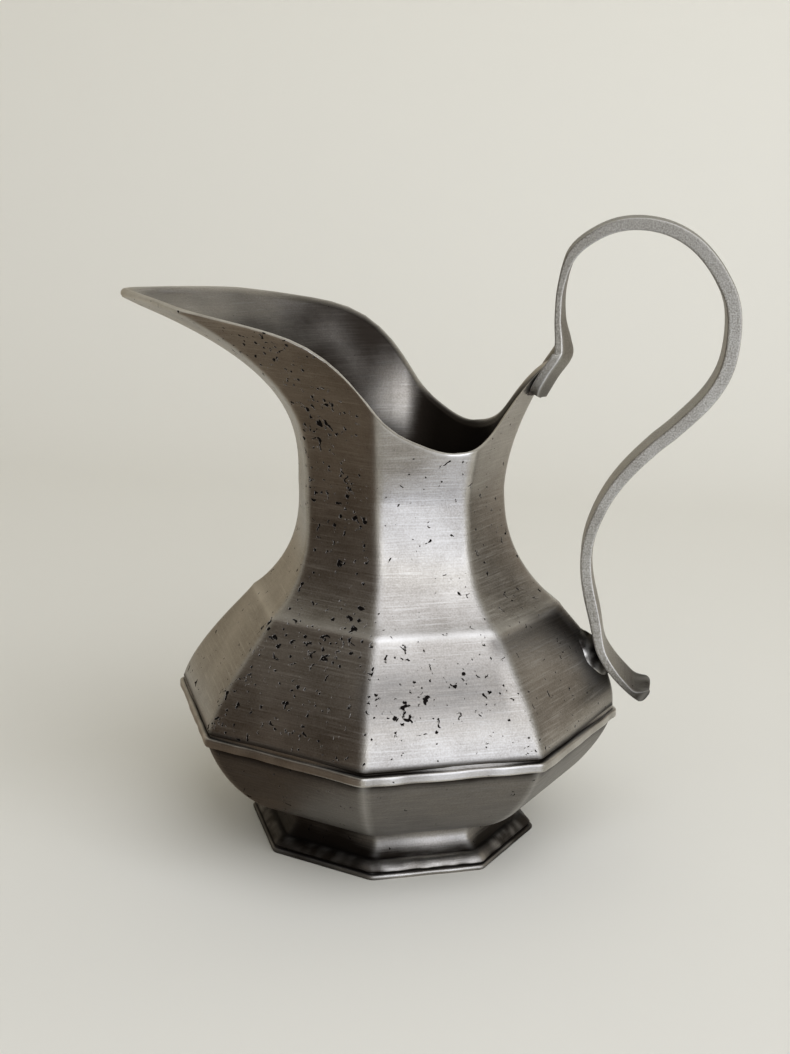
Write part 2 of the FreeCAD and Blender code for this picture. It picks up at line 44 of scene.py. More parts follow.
# Foot
FOOT_RADIUS = 44.5
PLINTH_HEIGHT = 1.35
GROOVE_RADIUS = 43.0
GROOVE_TOP = 1.7
BEAD_RADIUS = 43.7
BEAD_TOP = 4.6
COVE_BASE_RADIUS = 39.3
COVE_RADIUS = 36.4
FOOT_TOP_RADIUS = 38.6
FOOT_HEIGHT = 13.5
FOOT_RIM = 5.6
FOOT_WALL = 2.3
FOOT_HOLLOW_RISE = 5.0

# Lower bowl and belt
BOWL_SEAT_RADIUS = 41.0
BOWL_FULLNESS = 1.3
BOWL_TURN = 0.6
BOWL_WALL = 3.1
BOWL_FLOOR = 2.6
BELT_RADIUS = 68.0
BELT_UNDERSIDE = 39.0
BELT_TOP = 41.7
BELT_OVERHANG = 1.4
BELT_DENT = 0.3
BELT_LUMP = 6.0

# Upper body
BELLY = 67.0
SEAM_DEPTH = 1.6
SEAM_TOP = 42.9
RIDGE_RADIUS = 46.6
RIDGE_HEIGHT = 73.9
RIDGE_SWELL = 0.7
RIDGE_FADE = 2.2
SHOULDER_SET = 2.2
SHOULDER_CURVE = 1.4
BACK_SWELL = 1.8
NECK_RADIUS = 31.3
NECK_HEIGHT = 108.0
NECK_CURVE = 2.6
WALL = 2.3
MOUTH_HEIGHT = 160.0
LIP_TOP = 162.6
LIP_LAND = 1.2
SPOUT_FLOOR = 1.6
SPOUT_REACH = 86.6
SPOUT_CURVE = 2.8
CHEEK_REACH = 57.5
CHEEK_SPREAD = 32.0
CHEEK_CURVE = 2.9
SIDE_SPREAD = 60.0
QUARTER_REACH = 36.0
QUARTER_SPREAD = 35.0
SIDE_CURVE = 1.35
BACK_REACH = 53.6
BACK_CURVE = 1.8
RIM_DIP = 39.0
BACK_DROP = 12.3

# Handle
STRAP_WIDTH = 13.0
STRAP_THICKNESS = 3.2
STRAP_CROWN = 1.0
TAB_WIDTH = 18.0
TAB_THICKNESS = 2.6
TAB_LENGTH = 12.0
TAB_DROP = 0.6
LOOP_RISE = 36.9
LOOP_REACH = 46.3
LEG_RISE = 37.7
LEG_BOW = 4.4
TAIL_WIDTH = 19.5
TAIL_THICKNESS = 4.0
JOINT_THICKNESS = 2.3
TAIL_CONTACT = 59.5
TAIL_CONTACT_LENGTH = 4.6
TAIL_REACH = 15.2
TAIL_DROP = 11.0
SOLDER_GAP = 0.35

# Columns in each worn corner and on each panel, plain or fine
FILLET_STEPS = 5
PANEL_STEPS = 9
FINE_STEPS = 27
COLUMNS = 8 * (FILLET_STEPS + PANEL_STEPS)
SMOOTH_ANGLE = math.radians(50)

# How far the corners are worn round
EDGE_EASE = 1.2
BELT_EASE = 1.3
SIDE_EASE = 2.3
INSIDE_EASE = 11.0

# Bright metal on the corners: partly wear, partly a painted highlight where the rounded corners catch the
# light
BRIGHT_CORNER_WIDTH = 1.3
BODY_ARRIS = 0.4
BOWL_ARRIS = 0.5
FOOT_ARRIS = 0.15

# Share of casting pits on each panel, counted from the handle's corner towards the back, and on
# other places as against the outside of the upper body
PANEL_PITS = (0.5, 0.7, 0.4, 0.6, 0.6, 1.0, 0.42, 0.62)
INSIDE_PITS = 0.15
BOWL_PITS = 0.6
COVE_PITS = 0.8

# Dirt and painted shade: 0 is clean metal and 1 is black
INSIDE_SHADE = 0.9
BOWL_GRIME = 0.5
FOOT_GRIME = 0.25

# The dull, pitted patch on the front panel's shoulder, and the panel in front of the handle
DULL_PANEL = 6
DULL_HEIGHT = 61.0
DULL_SPREAD = 10.0
DULL_GRIME = 0.42
DULL_PITS = 0.58
HANDLE_PANEL = 7


# Small sums

def clamped(value, low=0.0, high=1.0):
    """A value kept between two limits."""
    return min(high, max(low, value))


def bell(offset, width):
    """1 where the offset is nothing, and next to nothing at twice the width."""
    return math.exp(-(offset / width) ** 2)


def gentle(share):
    """A share from 0 to 1 that starts and stops slowly."""
    return share * share * (3 - 2 * share)


def spread(start, stop, count):
    """Evenly spaced values with both ends."""
    return [start + (stop - start) * step / (count - 1) for step in range(count)]


def crossing(low, high, before, halvings):
    """Place between two limits up to which a test holds."""
    for _ in range(halvings):
        middle = (low + high) / 2
        if before(middle):
            low = middle
        else:
            high = middle
    return low


# Dirt, painted shade and pits that differ from panel to panel

def dull_patch(panel, height):
    """How far a point lies in the dull, pitted patch on one panel of the shoulder."""
    return bell(height - DULL_HEIGHT, DULL_SPREAD) if panel == DULL_PANEL else 0.0


def panel_pits(panel, height):
    """Share of casting pits on a panel at a height."""
    return PANEL_PITS[panel] + DULL_PITS * dull_patch(panel, height)


def crease_shade(panel, height):
    """Painted shade under the crease on the panel in front of the handle."""
    below = RIDGE_HEIGHT - height
    if panel != HANDLE_PANEL or below < 0:
        return 0.0
    return 0.55 * (1 - bell(below, 1.4)) * bell(below, 8.0)


def joint_dirt_and_shade(point):
    """Dirt and flux round the two joints of the handle, and painted shade on the body beneath the handle.
    """
    if point.x < 0:
        return 0.0
    lower = 0.75 * bell(point.y, 16.0) * bell(point.z - TAIL_CONTACT, 15.0)
    upper = 0.4 * bell(point.y, 12.0) * bell(point.z - LIP_TOP + BACK_DROP + 6.0, 8.0)
    return lower + upper


# Rings of points, and skins drawn through them

# Per point: wear with painted highlights, dirt with painted shade, and the share of casting pits
LAYERS = ("wear_and_highlight", "grime_and_shade", "pitted")


def octagon(radius, shift=0.0):
    """Corners of a regular octagon, the first towards the handle."""
    corners = []
    for step in range(8):
        turn = math.radians(45 * step)
        corners.append(Vector((radius * math.cos(turn) + shift, radius * math.sin(turn))))
    return corners


def corner_reach(corners, step, ease):
    """How far the rounding of a corner runs along its sides; sharper corners are worn rounder."""
    count = len(corners)
    before = corners[step - 1] - corners[step]
    after = corners[(step + 1) % count] - corners[step]
    sharpness = max(0.0, before.normalized().dot(after.normalized()) + COS_45)
    return min(ease * (1 + sharpness), 0.3 * before.length, 0.3 * after.length)


def eased(corners, ease, panel_steps=PANEL_STEPS):
    """Columns round a polygon whose corners are worn round: place, nearness to a corner, panel."""
    columns = []
    count = len(corners)
    reaches = [corner_reach(corners, step, ease) for step in range(count)]
    for step, corner in enumerate(corners):
        following = corners[(step + 1) % count]
        back = (corners[step - 1] - corner).normalized()
        ahead = (following - corner).normalized()
        start = corner + back * reaches[step]
        end = corner + ahead * reaches[step]
        for part in range(FILLET_STEPS):
            share = part / (FILLET_STEPS - 1)
            point = start * (1 - share) ** 2 + corner * 2 * share * (1 - share) + end * share ** 2
            away = abs(share - 0.5) * 2 * reaches[step]
            columns.append((point, bell(away, BRIGHT_CORNER_WIDTH), step))
        stop = following - ahead * reaches[(step + 1) % count]
        for part in range(panel_steps):
            share = (part + 1) / (panel_steps + 1)
            point = end.lerp(stop, share)
            away = min((point - corner).length, (point - following).length)
            columns.append((point, bell(away, BRIGHT_CORNER_WIDTH), step))
    return columns


def level_ring(corners, height, ease=EDGE_EASE, grime_and_shade=0.0, wear_and_highlight=0.0, pitted=0.0, arris=0.0,
               steps=PANEL_STEPS):
    """One level ring of points, each with its wear and painted highlight, its dirt and painted shade, and
    its share of casting pits.
    """
    ring = []
    for point, near, panel in eased(corners, ease, steps):
        point = Vector((point.x, point.y, height))
        # Patina of the dull patch, dirt round the joints, and painted shade under the crease and beneath
        # the handle
        patches_and_shade = DULL_GRIME * dull_patch(panel, height) + crease_shade(panel, height)
        dirt_and_shade = grime_and_shade + pitted * (patches_and_shade + joint_dirt_and_shade(point))
        ring.append((point, max(near * arris, wear_and_highlight), dirt_and_shade, pitted * panel_pits(panel, height)))
    return ring


def place_ring(mesh, ring, row):
    """Put the selected loop where a ring says."""
    layers = mesh.verts.layers
    for vert in mesh.verts:
        if vert.select:
            point, *values = ring[vert[layers.int["column"]]]
            vert.co = point * MM
            vert[layers.int["row"]] = row
            for layer, value in zip(LAYERS, values):
                vert[layers.float[layer]] = value


def select_rows(mesh, rows):
    """Select the loops of these rows only."""
    row = mesh.verts.layers.int["row"]
    bpy.ops.mesh.select_all(action="DESELECT")
    for edge in mesh.edges:
        first, second = edge.verts
        if first[row] == second[row] and first[row] in rows:
            edge.select_set(True)


def drawn_skin(name, rings, joined):
    """A skin pulled up loop by loop from a circle; its ends are joined or each filled."""
    bpy.ops.object.select_all(action="DESELECT")
    bpy.ops.mesh.primitive_circle_add(vertices=len(rings[0]), radius=BELLY * MM)
    piece = bpy.context.object
    piece.name = name
    bpy.ops.object.mode_set(mode="EDIT")
    bpy.ops.mesh.select_mode(type="EDGE")
    bpy.ops.mesh.select_all(action="SELECT")
    mesh = bmesh.from_edit_mesh(piece.data)
    mesh.verts.layers.int.new("row")
    mesh.verts.layers.int.new("column")
    for layer in LAYERS:
        mesh.verts.layers.float.new(layer)
    column = mesh.verts.layers.int["column"]
    for index, vert in enumerate(mesh.verts):
        vert[column] = index
    place_ring(mesh, rings[0], 0)
    for row, ring in enumerate(rings[1:], start=1):
        bpy.ops.mesh.extrude_edges_move()
        mesh = bmesh.from_edit_mesh(piece.data)
        place_ring(mesh, ring, row)
    last = len(rings) - 1
    if joined:
        select_rows(mesh, (0, last))
        bpy.ops.mesh.bridge_edge_loops()
    else:
        for row in (0, last):
            mesh = bmesh.from_edit_mesh(piece.data)
            select_rows(mesh, (row,))
            bpy.ops.mesh.edge_face_add()
    bpy.ops.mesh.select_all(action="SELECT")
    bpy.ops.mesh.normals_make_consistent(inside=False)
    bpy.ops.object.mode_set(mode="OBJECT")
    piece.matrix_world.identity()
    bpy.ops.object.shade_smooth_by_angle(angle=SMOOTH_ANGLE)
    return piece


# Upper body: the eight corners at each height

SOFT_START = 0.07
NOSE_ROUND = 0.9
# Front corner lines, numbered from the handle, stray towards the spout: how far at the crease, the
# neck and the mouth.
CORNER_DRIFT = {5: (-0.8, -2.6, -2.0), 6: (-2.6, -3.0, -2.0), 7: (-3.0, -0.4, -1.0)}
# All corner lines but those at the handle and the spout also waver, from a little above the seam.
WAVER = 0.5
WAVER_LENGTH = 15.0
WAVER_START = 8.0


def shoulder_share(height):
    """How far up the shoulder a height is."""
    return (height - SEAM_TOP) / (RIDGE_HEIGHT - SEAM_TOP)


def shoulder_radius(share):
    return BELLY - (BELLY - RIDGE_RADIUS) * share ** SHOULDER_CURVE


def back_swell(height):
    """How much fuller the shoulder's rear corner is."""
    return BACK_SWELL * math.sin(math.pi * clamped(shoulder_share(height)))


def shoulder_corners(height, inset):
    share = max(0.0, shoulder_share(height))
    corners = octagon(shoulder_radius(share) - inset, SHOULDER_SET * share)
    corners[0].x += back_swell(height)
    return corners


def neck_corners(height, inset):
    share = (NECK_HEIGHT - height) / (NECK_HEIGHT - RIDGE_HEIGHT)
    radius = NECK_RADIUS + (RIDGE_RADIUS - NECK_RADIUS) * share ** NECK_CURVE - inset
    return octagon(radius, SHOULDER_SET * share)


def flared(neck, mouth, share, curve):
    """A size on its way from the neck to the mouth; a quick flare still starts softly."""
    if curve < 2:
        share = share ** 2 * ((1 + SOFT_START) / (share + SOFT_START)) ** (2 - curve)
    else:
        share = share ** curve
    return neck + (mouth - neck) * share


def mouth_corners(height, inset, lip, top):
    share = min(1.0, (height - NECK_HEIGHT) / (top - NECK_HEIGHT))
    ring = NECK_RADIUS - inset
    slant = ring * COS_45
    nose = NOSE_ROUND * (bell(height - MOUTH_HEIGHT + 0.2, 1.0) + bell(height - LIP_TOP - 0.2, 0.9))
    spout = flared(ring, SPOUT_REACH - lip, share, SPOUT_CURVE) - nose
    cheek = (flared(slant, CHEEK_REACH - lip, share, CHEEK_CURVE),
             flared(slant, CHEEK_SPREAD - lip, share, SIDE_CURVE))
    flank = flared(ring, SIDE_SPREAD - inset, share, SIDE_CURVE)
    quarter = (flared(slant, QUARTER_REACH - inset, share, SIDE_CURVE),
               flared(slant, QUARTER_SPREAD - inset, share, SIDE_CURVE))
    back = flared(ring, BACK_REACH - inset, share, BACK_CURVE)
    half = [(back, 0.0), quarter, (0.0, flank), (-cheek[0], cheek[1]), (-spout, 0.0)]
    other = [(x, -y) for x, y in half[3:0:-1]]
    return [Vector(corner) for corner in half + other]


def drifted(corners, height):
    """Corners moved by their waver and their drift at a height."""
    start = clamped((height - SEAM_TOP) / WAVER_START)
    for step in (1, 2, 3, 5, 6, 7):
        place = Vector((7.3 * step, 0.0, height / WAVER_LENGTH))
        corners[step] += WAVER * start * noise.noise(place) * corners[step].normalized()
    for step, (crease, neck, mouth) in CORNER_DRIFT.items():
        if height <= RIDGE_HEIGHT:
            drift = crease * max(0.0, shoulder_share(height))
        elif height <= NECK_HEIGHT:
            share = (height - RIDGE_HEIGHT) / (NECK_HEIGHT - RIDGE_HEIGHT)
            drift = crease + (neck - crease) * gentle(share)
        else:
            share = min(1.0, (height - NECK_HEIGHT) / (MOUTH_HEIGHT - NECK_HEIGHT))
            drift = neck + (mouth - neck) * gentle(share)
        corners[step].x += drift
    return corners


def outside_corners(height):
    swell = RIDGE_SWELL * math.exp(-abs(height - RIDGE_HEIGHT) / RIDGE_FADE)
    if height <= RIDGE_HEIGHT:
        return drifted(shoulder_corners(height, -swell), height)
    if height <= NECK_HEIGHT:
        return drifted(neck_corners(height, -swell), height)
    return drifted(mouth_corners(height, 0.0, 0.0, MOUTH_HEIGHT), height)


def inside_corners(height):
    if height <= RIDGE_HEIGHT:
        return drifted(shoulder_corners(height, BOWL_WALL), height)
    if height <= NECK_HEIGHT:
        share = (NECK_HEIGHT - height) / (NECK_HEIGHT - RIDGE_HEIGHT)
        return drifted(neck_corners(height, WALL + (BOWL_WALL - WALL) * share), height)
    return drifted(mouth_corners(height, WALL, LIP_LAND, MOUTH_HEIGHT + SPOUT_FLOOR), height)


# Upper body: the rim's side view, a B-spline

# Poles: along from the neck's axis, fall below the spout's lip.
RIM_POLES = (
    (-1.10 * SPOUT_REACH, -0.015 * RIM_DIP),
    (-0.77 * SPOUT_REACH, 0.0),
    (-0.545 * SPOUT_REACH, 0.087 * RIM_DIP),
    (-0.254 * SPOUT_REACH, 0.156 * RIM_DIP),
    (-0.077 * SPOUT_REACH, 0.49 * RIM_DIP),
    (0.0, 0.785 * RIM_DIP),
    (0.13 * BACK_REACH, 0.905 * RIM_DIP),
    (0.54 * BACK_REACH, 1.17 * RIM_DIP),
    (0.72 * BACK_REACH, 0.756 * BACK_DROP),
    (1.10 * BACK_REACH, BACK_DROP),
)
RIM_DEGREE = 3
RIM_SPANS = len(RIM_POLES) - RIM_DEGREE


def rim_point(place):
    """Point of the rim's spline; place runs from 0 to the number of its spans."""
    count = RIM_SPANS + 2 * RIM_DEGREE + 1
    knots = [clamped(step - RIM_DEGREE, 0, RIM_SPANS) for step in range(count)]
    span = min(int(place), RIM_SPANS - 1) + RIM_DEGREE
    points = [Vector(RIM_POLES[span - RIM_DEGREE + step]) for step in range(RIM_DEGREE + 1)]
    for level in range(1, RIM_DEGREE + 1):
        for step in range(RIM_DEGREE, level - 1, -1):
            low = knots[span - RIM_DEGREE + step]
            share = (place - low) / (knots[span + 1 + step - level] - low)
            points[step] = points[step - 1].lerp(points[step], share)
    return points[RIM_DEGREE].x, LIP_TOP - points[RIM_DEGREE].y


def rim_height(along):
    """Height of the rim at a distance along X."""
    place = crossing(0.0, float(RIM_SPANS), lambda place: rim_point(place)[0] < along, 30)
    return rim_point(place)[1]


# Upper body: rings from the seam up to the rim, over it and down the inside

FLOW_START = 112.0
FLOW_RINGS = 36
FLOW_CURVE = 1.25
RIM_ROUND = 0.5
RIM_SLOPE = 1.8
# The groove above the belt, from its bottom up: depth, height, and painted shade in the groove.
SEAM_ROWS = ((SEAM_DEPTH, BELT_TOP, 1.0), (0.35, SEAM_TOP - 0.35, 0.9), (0.05, SEAM_TOP, 0.7))
# The round of the lip: share of the way in, rise, wear.
LIP_ROWS = ((0.06, 0.28, 0.9), (0.2, 0.62, 0.9), (0.36, 0.75, 0.5),
            (0.55, 0.66, 0.1), (0.75, 0.42, 0.0), (0.92, 0.15, 0.0))


def column_top(corners_at, ease, column):
    """Height at which one column of the neck's wall meets the rim."""
    def below_rim(height):
        return height < rim_height(eased(corners_at(height), ease)[column][0].x)
    return crossing(FLOW_START, LIP_TOP + 1.0, below_rim, 24)


def flowing_rings(corners_at, ease, shares, dirt_and_shade_at, pitted, arris, below):
    """Rings that leave the neck level and arrive a little below the rim."""
    tops = [column_top(corners_at, ease, column) - below for column in range(COLUMNS)]
    rings = []
    for share in shares:
        ring = []
        for column, top in enumerate(tops):
            height = FLOW_START + (top - FLOW_START) * share
            point, near, panel = eased(corners_at(height), ease)[column]
            point = Vector((point.x, point.y, height))
            # The rim is rubbed bright, in a broader band towards the spout's tip
            tip = clamped((-point.x - 50.0) / 30.0)
            rim = 2 * (1 + tip) * bell(top - height, 0.6 + 2.2 * tip)
            pits = pitted * panel_pits(panel, height)
            ring.append((point, arris * max(near, rim), dirt_and_shade_at(point), pits))
        rings.append(ring)
    return rings


def blended(first, second, share, rise, wear_and_highlight):
    """A ring between two rings, lifted a little; its dirt and painted shade grow towards the second."""
    ring = []
    for low, high in zip(first, second):
        point = low[0].lerp(high[0], share)
        point.z += rise
        ring.append((point, wear_and_highlight, high[2] * share, 0.0))
    return ring


def inside_shade(point):
    """Painted shade inside the mouth: little in the spout, most at the back, with one spot painted bright
    as a reflection.
    """
    dirt_and_shade = 0.45 + 0.42 * clamped((point.x + 58.0) / 34.0) + 0.45 * clamped(point.x / 10.0)
    if point.y > 0:
        painted_bright_patch = bell(point.x + 5.0, 8.5) * bell(point.z - 128.0, 10.0)
        dirt_and_shade -= 0.62 * painted_bright_patch * clamped((1.0 - point.x) / 3.0)
    return dirt_and_shade + 0.2 * noise.noise(point / 13.0)


def upper_body_rings():
    outer = [level_ring(octagon(BELLY - depth), height, grime_and_shade=grime_and_shade) for depth, height, grime_and_shade in SEAM_ROWS]
    for height in spread(SEAM_TOP + 0.5, RIDGE_HEIGHT - 0.7, 30) + spread(RIDGE_HEIGHT, FLOW_START, 34):
        # Painted highlight along the crease line, and painted shade just above the seam's groove
        painted_light = 0.95 * bell(height - RIDGE_HEIGHT - 0.3, 1.0)
        grime_and_shade = 0.75 * bell(height - SEAM_TOP, 1.3)
        outer.append(level_ring(outside_corners(height), height, SIDE_EASE, grime_and_shade, painted_light, 1.0, BODY_ARRIS))
    shares = [1 - (1 - step / FLOW_RINGS) ** FLOW_CURVE for step in range(1, FLOW_RINGS + 1)]
    outer += flowing_rings(outside_corners, SIDE_EASE, shares, joint_dirt_and_shade, 1.0, BODY_ARRIS, RIM_ROUND)
    shares.reverse()
    inner = flowing_rings(inside_corners, INSIDE_EASE, shares, inside_shade, INSIDE_PITS, 0.0, RIM_SLOPE)
    lip = [blended(outer[-1], inner[0], *row) for row in LIP_ROWS]
    # The inside walls down to the seam, in painted shade
    for height in spread(FLOW_START, RIDGE_HEIGHT, 20) + spread(RIDGE_HEIGHT - 1.5, SEAM_TOP, 16):
        inner.append(level_ring(inside_corners(height), height, INSIDE_EASE, INSIDE_SHADE))
    inner.append(level_ring(octagon(BELLY - BOWL_WALL), BELT_TOP, INSIDE_EASE, INSIDE_SHADE))
    return outer + lip + inner


# Lower bowl with the belt round its rim

BOWL_STEPS = 26
CENTRE_RADIUS = 6.0
BOWL_INNER_RIM = BELLY - BOWL_WALL
BOWL_OUTER_RIM = BELT_RADIUS - BELT_OVERHANG
# Rows of the ledge that carries the upper body and of the belt: radius, height, dirt with painted shade
# (darkest under the belt), wear with painted highlight.
LEDGE_ROWS = ((BOWL_INNER_RIM, BELT_TOP, 0.8, 0.0), (BELLY - 0.4, BELT_TOP, 0.9, 0.0))
BELT_ROWS = (
    (BELT_RADIUS - 0.5, BELT_TOP, 0.2, 0.4),
    (BELT_RADIUS - 0.15, BELT_TOP - 0.15, 0.1, 0.5),
    (BELT_RADIUS, BELT_TOP - 0.45, 0.1, 0.35),
    (BELT_RADIUS, BELT_TOP - 0.7, 0.1, 0.35),
    (BELT_RADIUS, BELT_UNDERSIDE + 0.7, 0.1, 0.4),
    (BELT_RADIUS, BELT_UNDERSIDE + 0.45, 0.0, 0.6),
    (BELT_RADIUS - 0.15, BELT_UNDERSIDE + 0.15, 0.1, 0.4),
    (BELT_RADIUS - 0.6, BELT_UNDERSIDE, 0.7, 0.1),
    (BOWL_OUTER_RIM + 0.1, BELT_UNDERSIDE, 1.0, 0.0),
)


def bowl_ring(drop, rim, seat, bottom, ease, grime_and_shade, pitted):
    radius = seat + (rim - seat) * max(0.0, 1 - drop ** BOWL_FULLNESS) ** BOWL_TURN
    height = BELT_UNDERSIDE - drop * (BELT_UNDERSIDE - bottom)
    return level_ring(octagon(radius), height, ease, grime_and_shade, 0.0, pitted, BOWL_ARRIS, FINE_STEPS)


def dented(ring, lump, depth):
    """A ring with the small swells and sways of hand work."""
    moved = []
    for point, wear_and_highlight, grime_and_shade, pitted in ring:
        place = Vector((point.x, point.y, 0.0))
        swell = noise.noise(place / lump)
        sway = noise.noise(place / lump / 2 + Vector((0.0, 0.0, 7.0)))
        shift = place.normalized() * depth * swell
        shift.z = depth * sway
        moved.append((point + shift, wear_and_highlight * max(0.0, 1 + 1.5 * swell), grime_and_shade - 0.3 * swell, pitted))
    return moved


def lower_bowl_rings():
    floor = FOOT_HEIGHT + BOWL_FLOOR
    inner_seat = BOWL_SEAT_RADIUS - BOWL_FLOOR
    drops = [math.sin(math.pi / 2 * step / BOWL_STEPS) for step in range(BOWL_STEPS + 1)]
    centre = octagon(CENTRE_RADIUS)
    rings = [level_ring(centre, floor, 1.0, INSIDE_SHADE, steps=FINE_STEPS)]
    for drop in drops[::-1]:
        rings.append(bowl_ring(drop, BOWL_INNER_RIM, inner_seat, floor, INSIDE_EASE, INSIDE_SHADE, 0.0))
    for rows, depth in ((LEDGE_ROWS, 0.0), (BELT_ROWS, BELT_DENT)):
        for radius, height, grime_and_shade, wear_and_highlight in rows:
            ring = level_ring(octagon(radius), height, BELT_EASE, grime_and_shade, wear_and_highlight, steps=FINE_STEPS)
            rings.append(dented(ring, BELT_LUMP, depth))
    for drop in drops:
        # Painted shade just under the belt and where the bowl meets the foot, over the bowl's darker patina
        grime_and_shade = min(1.0, BOWL_GRIME + 0.4 * bell(drop, 0.06) + 0.5 * bell(1 - drop, 0.05))
        ring = bowl_ring(drop, BOWL_OUTER_RIM, BOWL_SEAT_RADIUS, FOOT_HEIGHT, SIDE_EASE, grime_and_shade, BOWL_PITS)
        rings.append(ring)
    rings.append(level_ring(centre, FOOT_HEIGHT, 1.0, 1.0, steps=FINE_STEPS))
    return rings


# Foot

# Rows of the plinth and of the bead: radius, height, dirt with painted shade (darkest in the groove), wear
# with painted highlight.
PLINTH_ROWS = (
    (FOOT_RADIUS - 0.35, 0.0, 0.7, 0.1),
    (FOOT_RADIUS, 0.35, 0.6, 0.1),
    (FOOT_RADIUS, PLINTH_HEIGHT - 0.4, 0.5, 0.2),
    (FOOT_RADIUS - 0.3, PLINTH_HEIGHT, 0.35, 0.5),
    (FOOT_RADIUS - 0.8, PLINTH_HEIGHT + 0.1, 0.9, 0.1),
    (GROOVE_RADIUS, PLINTH_HEIGHT + 0.15, 1.3, 0.0),
)
BEAD_ROWS = (
    (GROOVE_RADIUS, GROOVE_TOP, 1.3, 0.0),
    (BEAD_RADIUS - 0.3, GROOVE_TOP + 0.1, 1.1, 0.0),
    (BEAD_RADIUS, GROOVE_TOP + 0.6, 0.7, 0.15),
    (BEAD_RADIUS - 0.4, BEAD_TOP - 1.8, 0.5, 0.25),
    (BEAD_RADIUS - 1.3, BEAD_TOP - 0.9, 0.45, 0.3),
    (BEAD_RADIUS - 2.4, BEAD_TOP - 0.25, 0.5, 0.3),
    (COVE_BASE_RADIUS + 1.1, BEAD_TOP, 0.7, 0.1),
    (COVE_BASE_RADIUS + 0.4, BEAD_TOP - 0.1, 1.0, 0.0),
    (COVE_BASE_RADIUS + 0.1, BEAD_TOP, 1.0, 0.0),
)
# Rows of the hollow beneath: radius, height, darkness.
HOLLOW_ROWS = (
    (COVE_RADIUS - FOOT_WALL, FOOT_HEIGHT, 1.0),
    (COVE_RADIUS - FOOT_WALL, FOOT_HOLLOW_RISE, 0.8),
    (FOOT_RADIUS - FOOT_RIM, 0.3, 0.5),
    (FOOT_RADIUS - FOOT_RIM + 0.4, 0.0, 0.5),
)
COVE_RINGS = 16
# The side where the lumps gather, also painted lighter as the side the light falls on
ROUGH_SIDE = Vector((0.38, -0.92, 0.0))


def cove_radius(share):
    """The cove is a parabola through its foot, its waist and its top."""
    base = 2 * (share - 0.5) * (share - 1) * COVE_BASE_RADIUS
    waist = 4 * share * (1 - share) * COVE_RADIUS
    top = 2 * share * (share - 0.5) * FOOT_TOP_RADIUS
    return base + waist + top


def rough_cast(ring, lump, depth, painted_light):
    """A ring left lumpy from the mould, mostly on one side, which is also painted lighter as the lit side;
    painted highlights on the swells, and painted shade between them and on the sides below the spout and
    the handle.
    """
    rough = []
    for point, wear_and_highlight, grime_and_shade, pitted in ring:
        swell = noise.noise(Vector((point.x, point.y, 0.5 * point.z)) / lump)
        out = Vector((point.x, point.y, 0.0)).normalized()
        facing = max(0.0, out.dot(ROUGH_SIDE)) ** 6
        painted_shaded_side = max(0.0, -0.85 * (out.x + out.y) - 0.6, 0.9 * out.x - 0.55)
        dirt_and_shade = grime_and_shade - 0.2 * swell + painted_shaded_side - painted_light * facing
        out *= depth * swell * (0.3 + facing)
        rough.append((point + out, wear_and_highlight * max(0.0, 0.5 + 1.5 * swell), dirt_and_shade, pitted))
    return rough


def foot_rings():
    rings = []
    for rows, lump, depth in ((PLINTH_ROWS, 9.0, 0.15), (BEAD_ROWS, 3.0, 0.35)):
        for radius, height, grime_and_shade, wear_and_highlight in rows:
            ring = level_ring(octagon(radius), height, EDGE_EASE, grime_and_shade, wear_and_highlight, 0.0, FOOT_ARRIS, FINE_STEPS)
            rings.append(rough_cast(ring, lump, depth, 0.35))
    for share in spread(0.05, 1.0, COVE_RINGS):
        height = BEAD_TOP + share * (FOOT_HEIGHT - BEAD_TOP)
        # Painted shade at the foot of the cove and at its top under the bowl
        grime_and_shade = FOOT_GRIME + 0.5 * bell(share, 0.2) + 0.6 * bell(1 - share, 0.08)
        corners = octagon(cove_radius(share))
        ring = level_ring(corners, height, EDGE_EASE, grime_and_shade, 0.0, COVE_PITS, FOOT_ARRIS, FINE_STEPS)
        rings.append(rough_cast(ring, 9.0, 0.1, 0.0))
    for radius, height, grime_and_shade in HOLLOW_ROWS:
        rings.append(level_ring(octagon(radius), height, EDGE_EASE, grime_and_shade, steps=FINE_STEPS))
    return rings


# Solder in the groove above the belt, flush in some places and sunk in others, painted darker in shade
# where it is sunk

SEAM_SINK = 1.25


def belly_solder_rings():
    slope = (SEAM_TOP - BELT_TOP) / SEAM_DEPTH
    flush = level_ring(octagon(BELLY), BELT_TOP)
    sunk = level_ring(octagon(BELLY - SEAM_SINK), BELT_TOP)
    back = level_ring(octagon(BELLY - SEAM_DEPTH), BELT_TOP + 0.02, grime_and_shade=1.0)
    foot = []
    top = []
    for outer, inner in zip(flush, sunk):
        # How far the solder sinks also sets its painted shade
        share = clamped(0.5 + 1.1 * noise.noise(outer[0] / 26.0), 0.08)
        point = outer[0].lerp(inner[0], share)
        foot.append((point, 0.0, share, 0.0))
        rise = slope * (SEAM_DEPTH - SEAM_SINK * share)
        top.append((point + Vector((0.0, 0.0, rise)), 0.0, share, 0.0))
    return [back, foot, top]


# Handle: stations along the strap

PEAK_Z = LIP_TOP - BACK_DROP
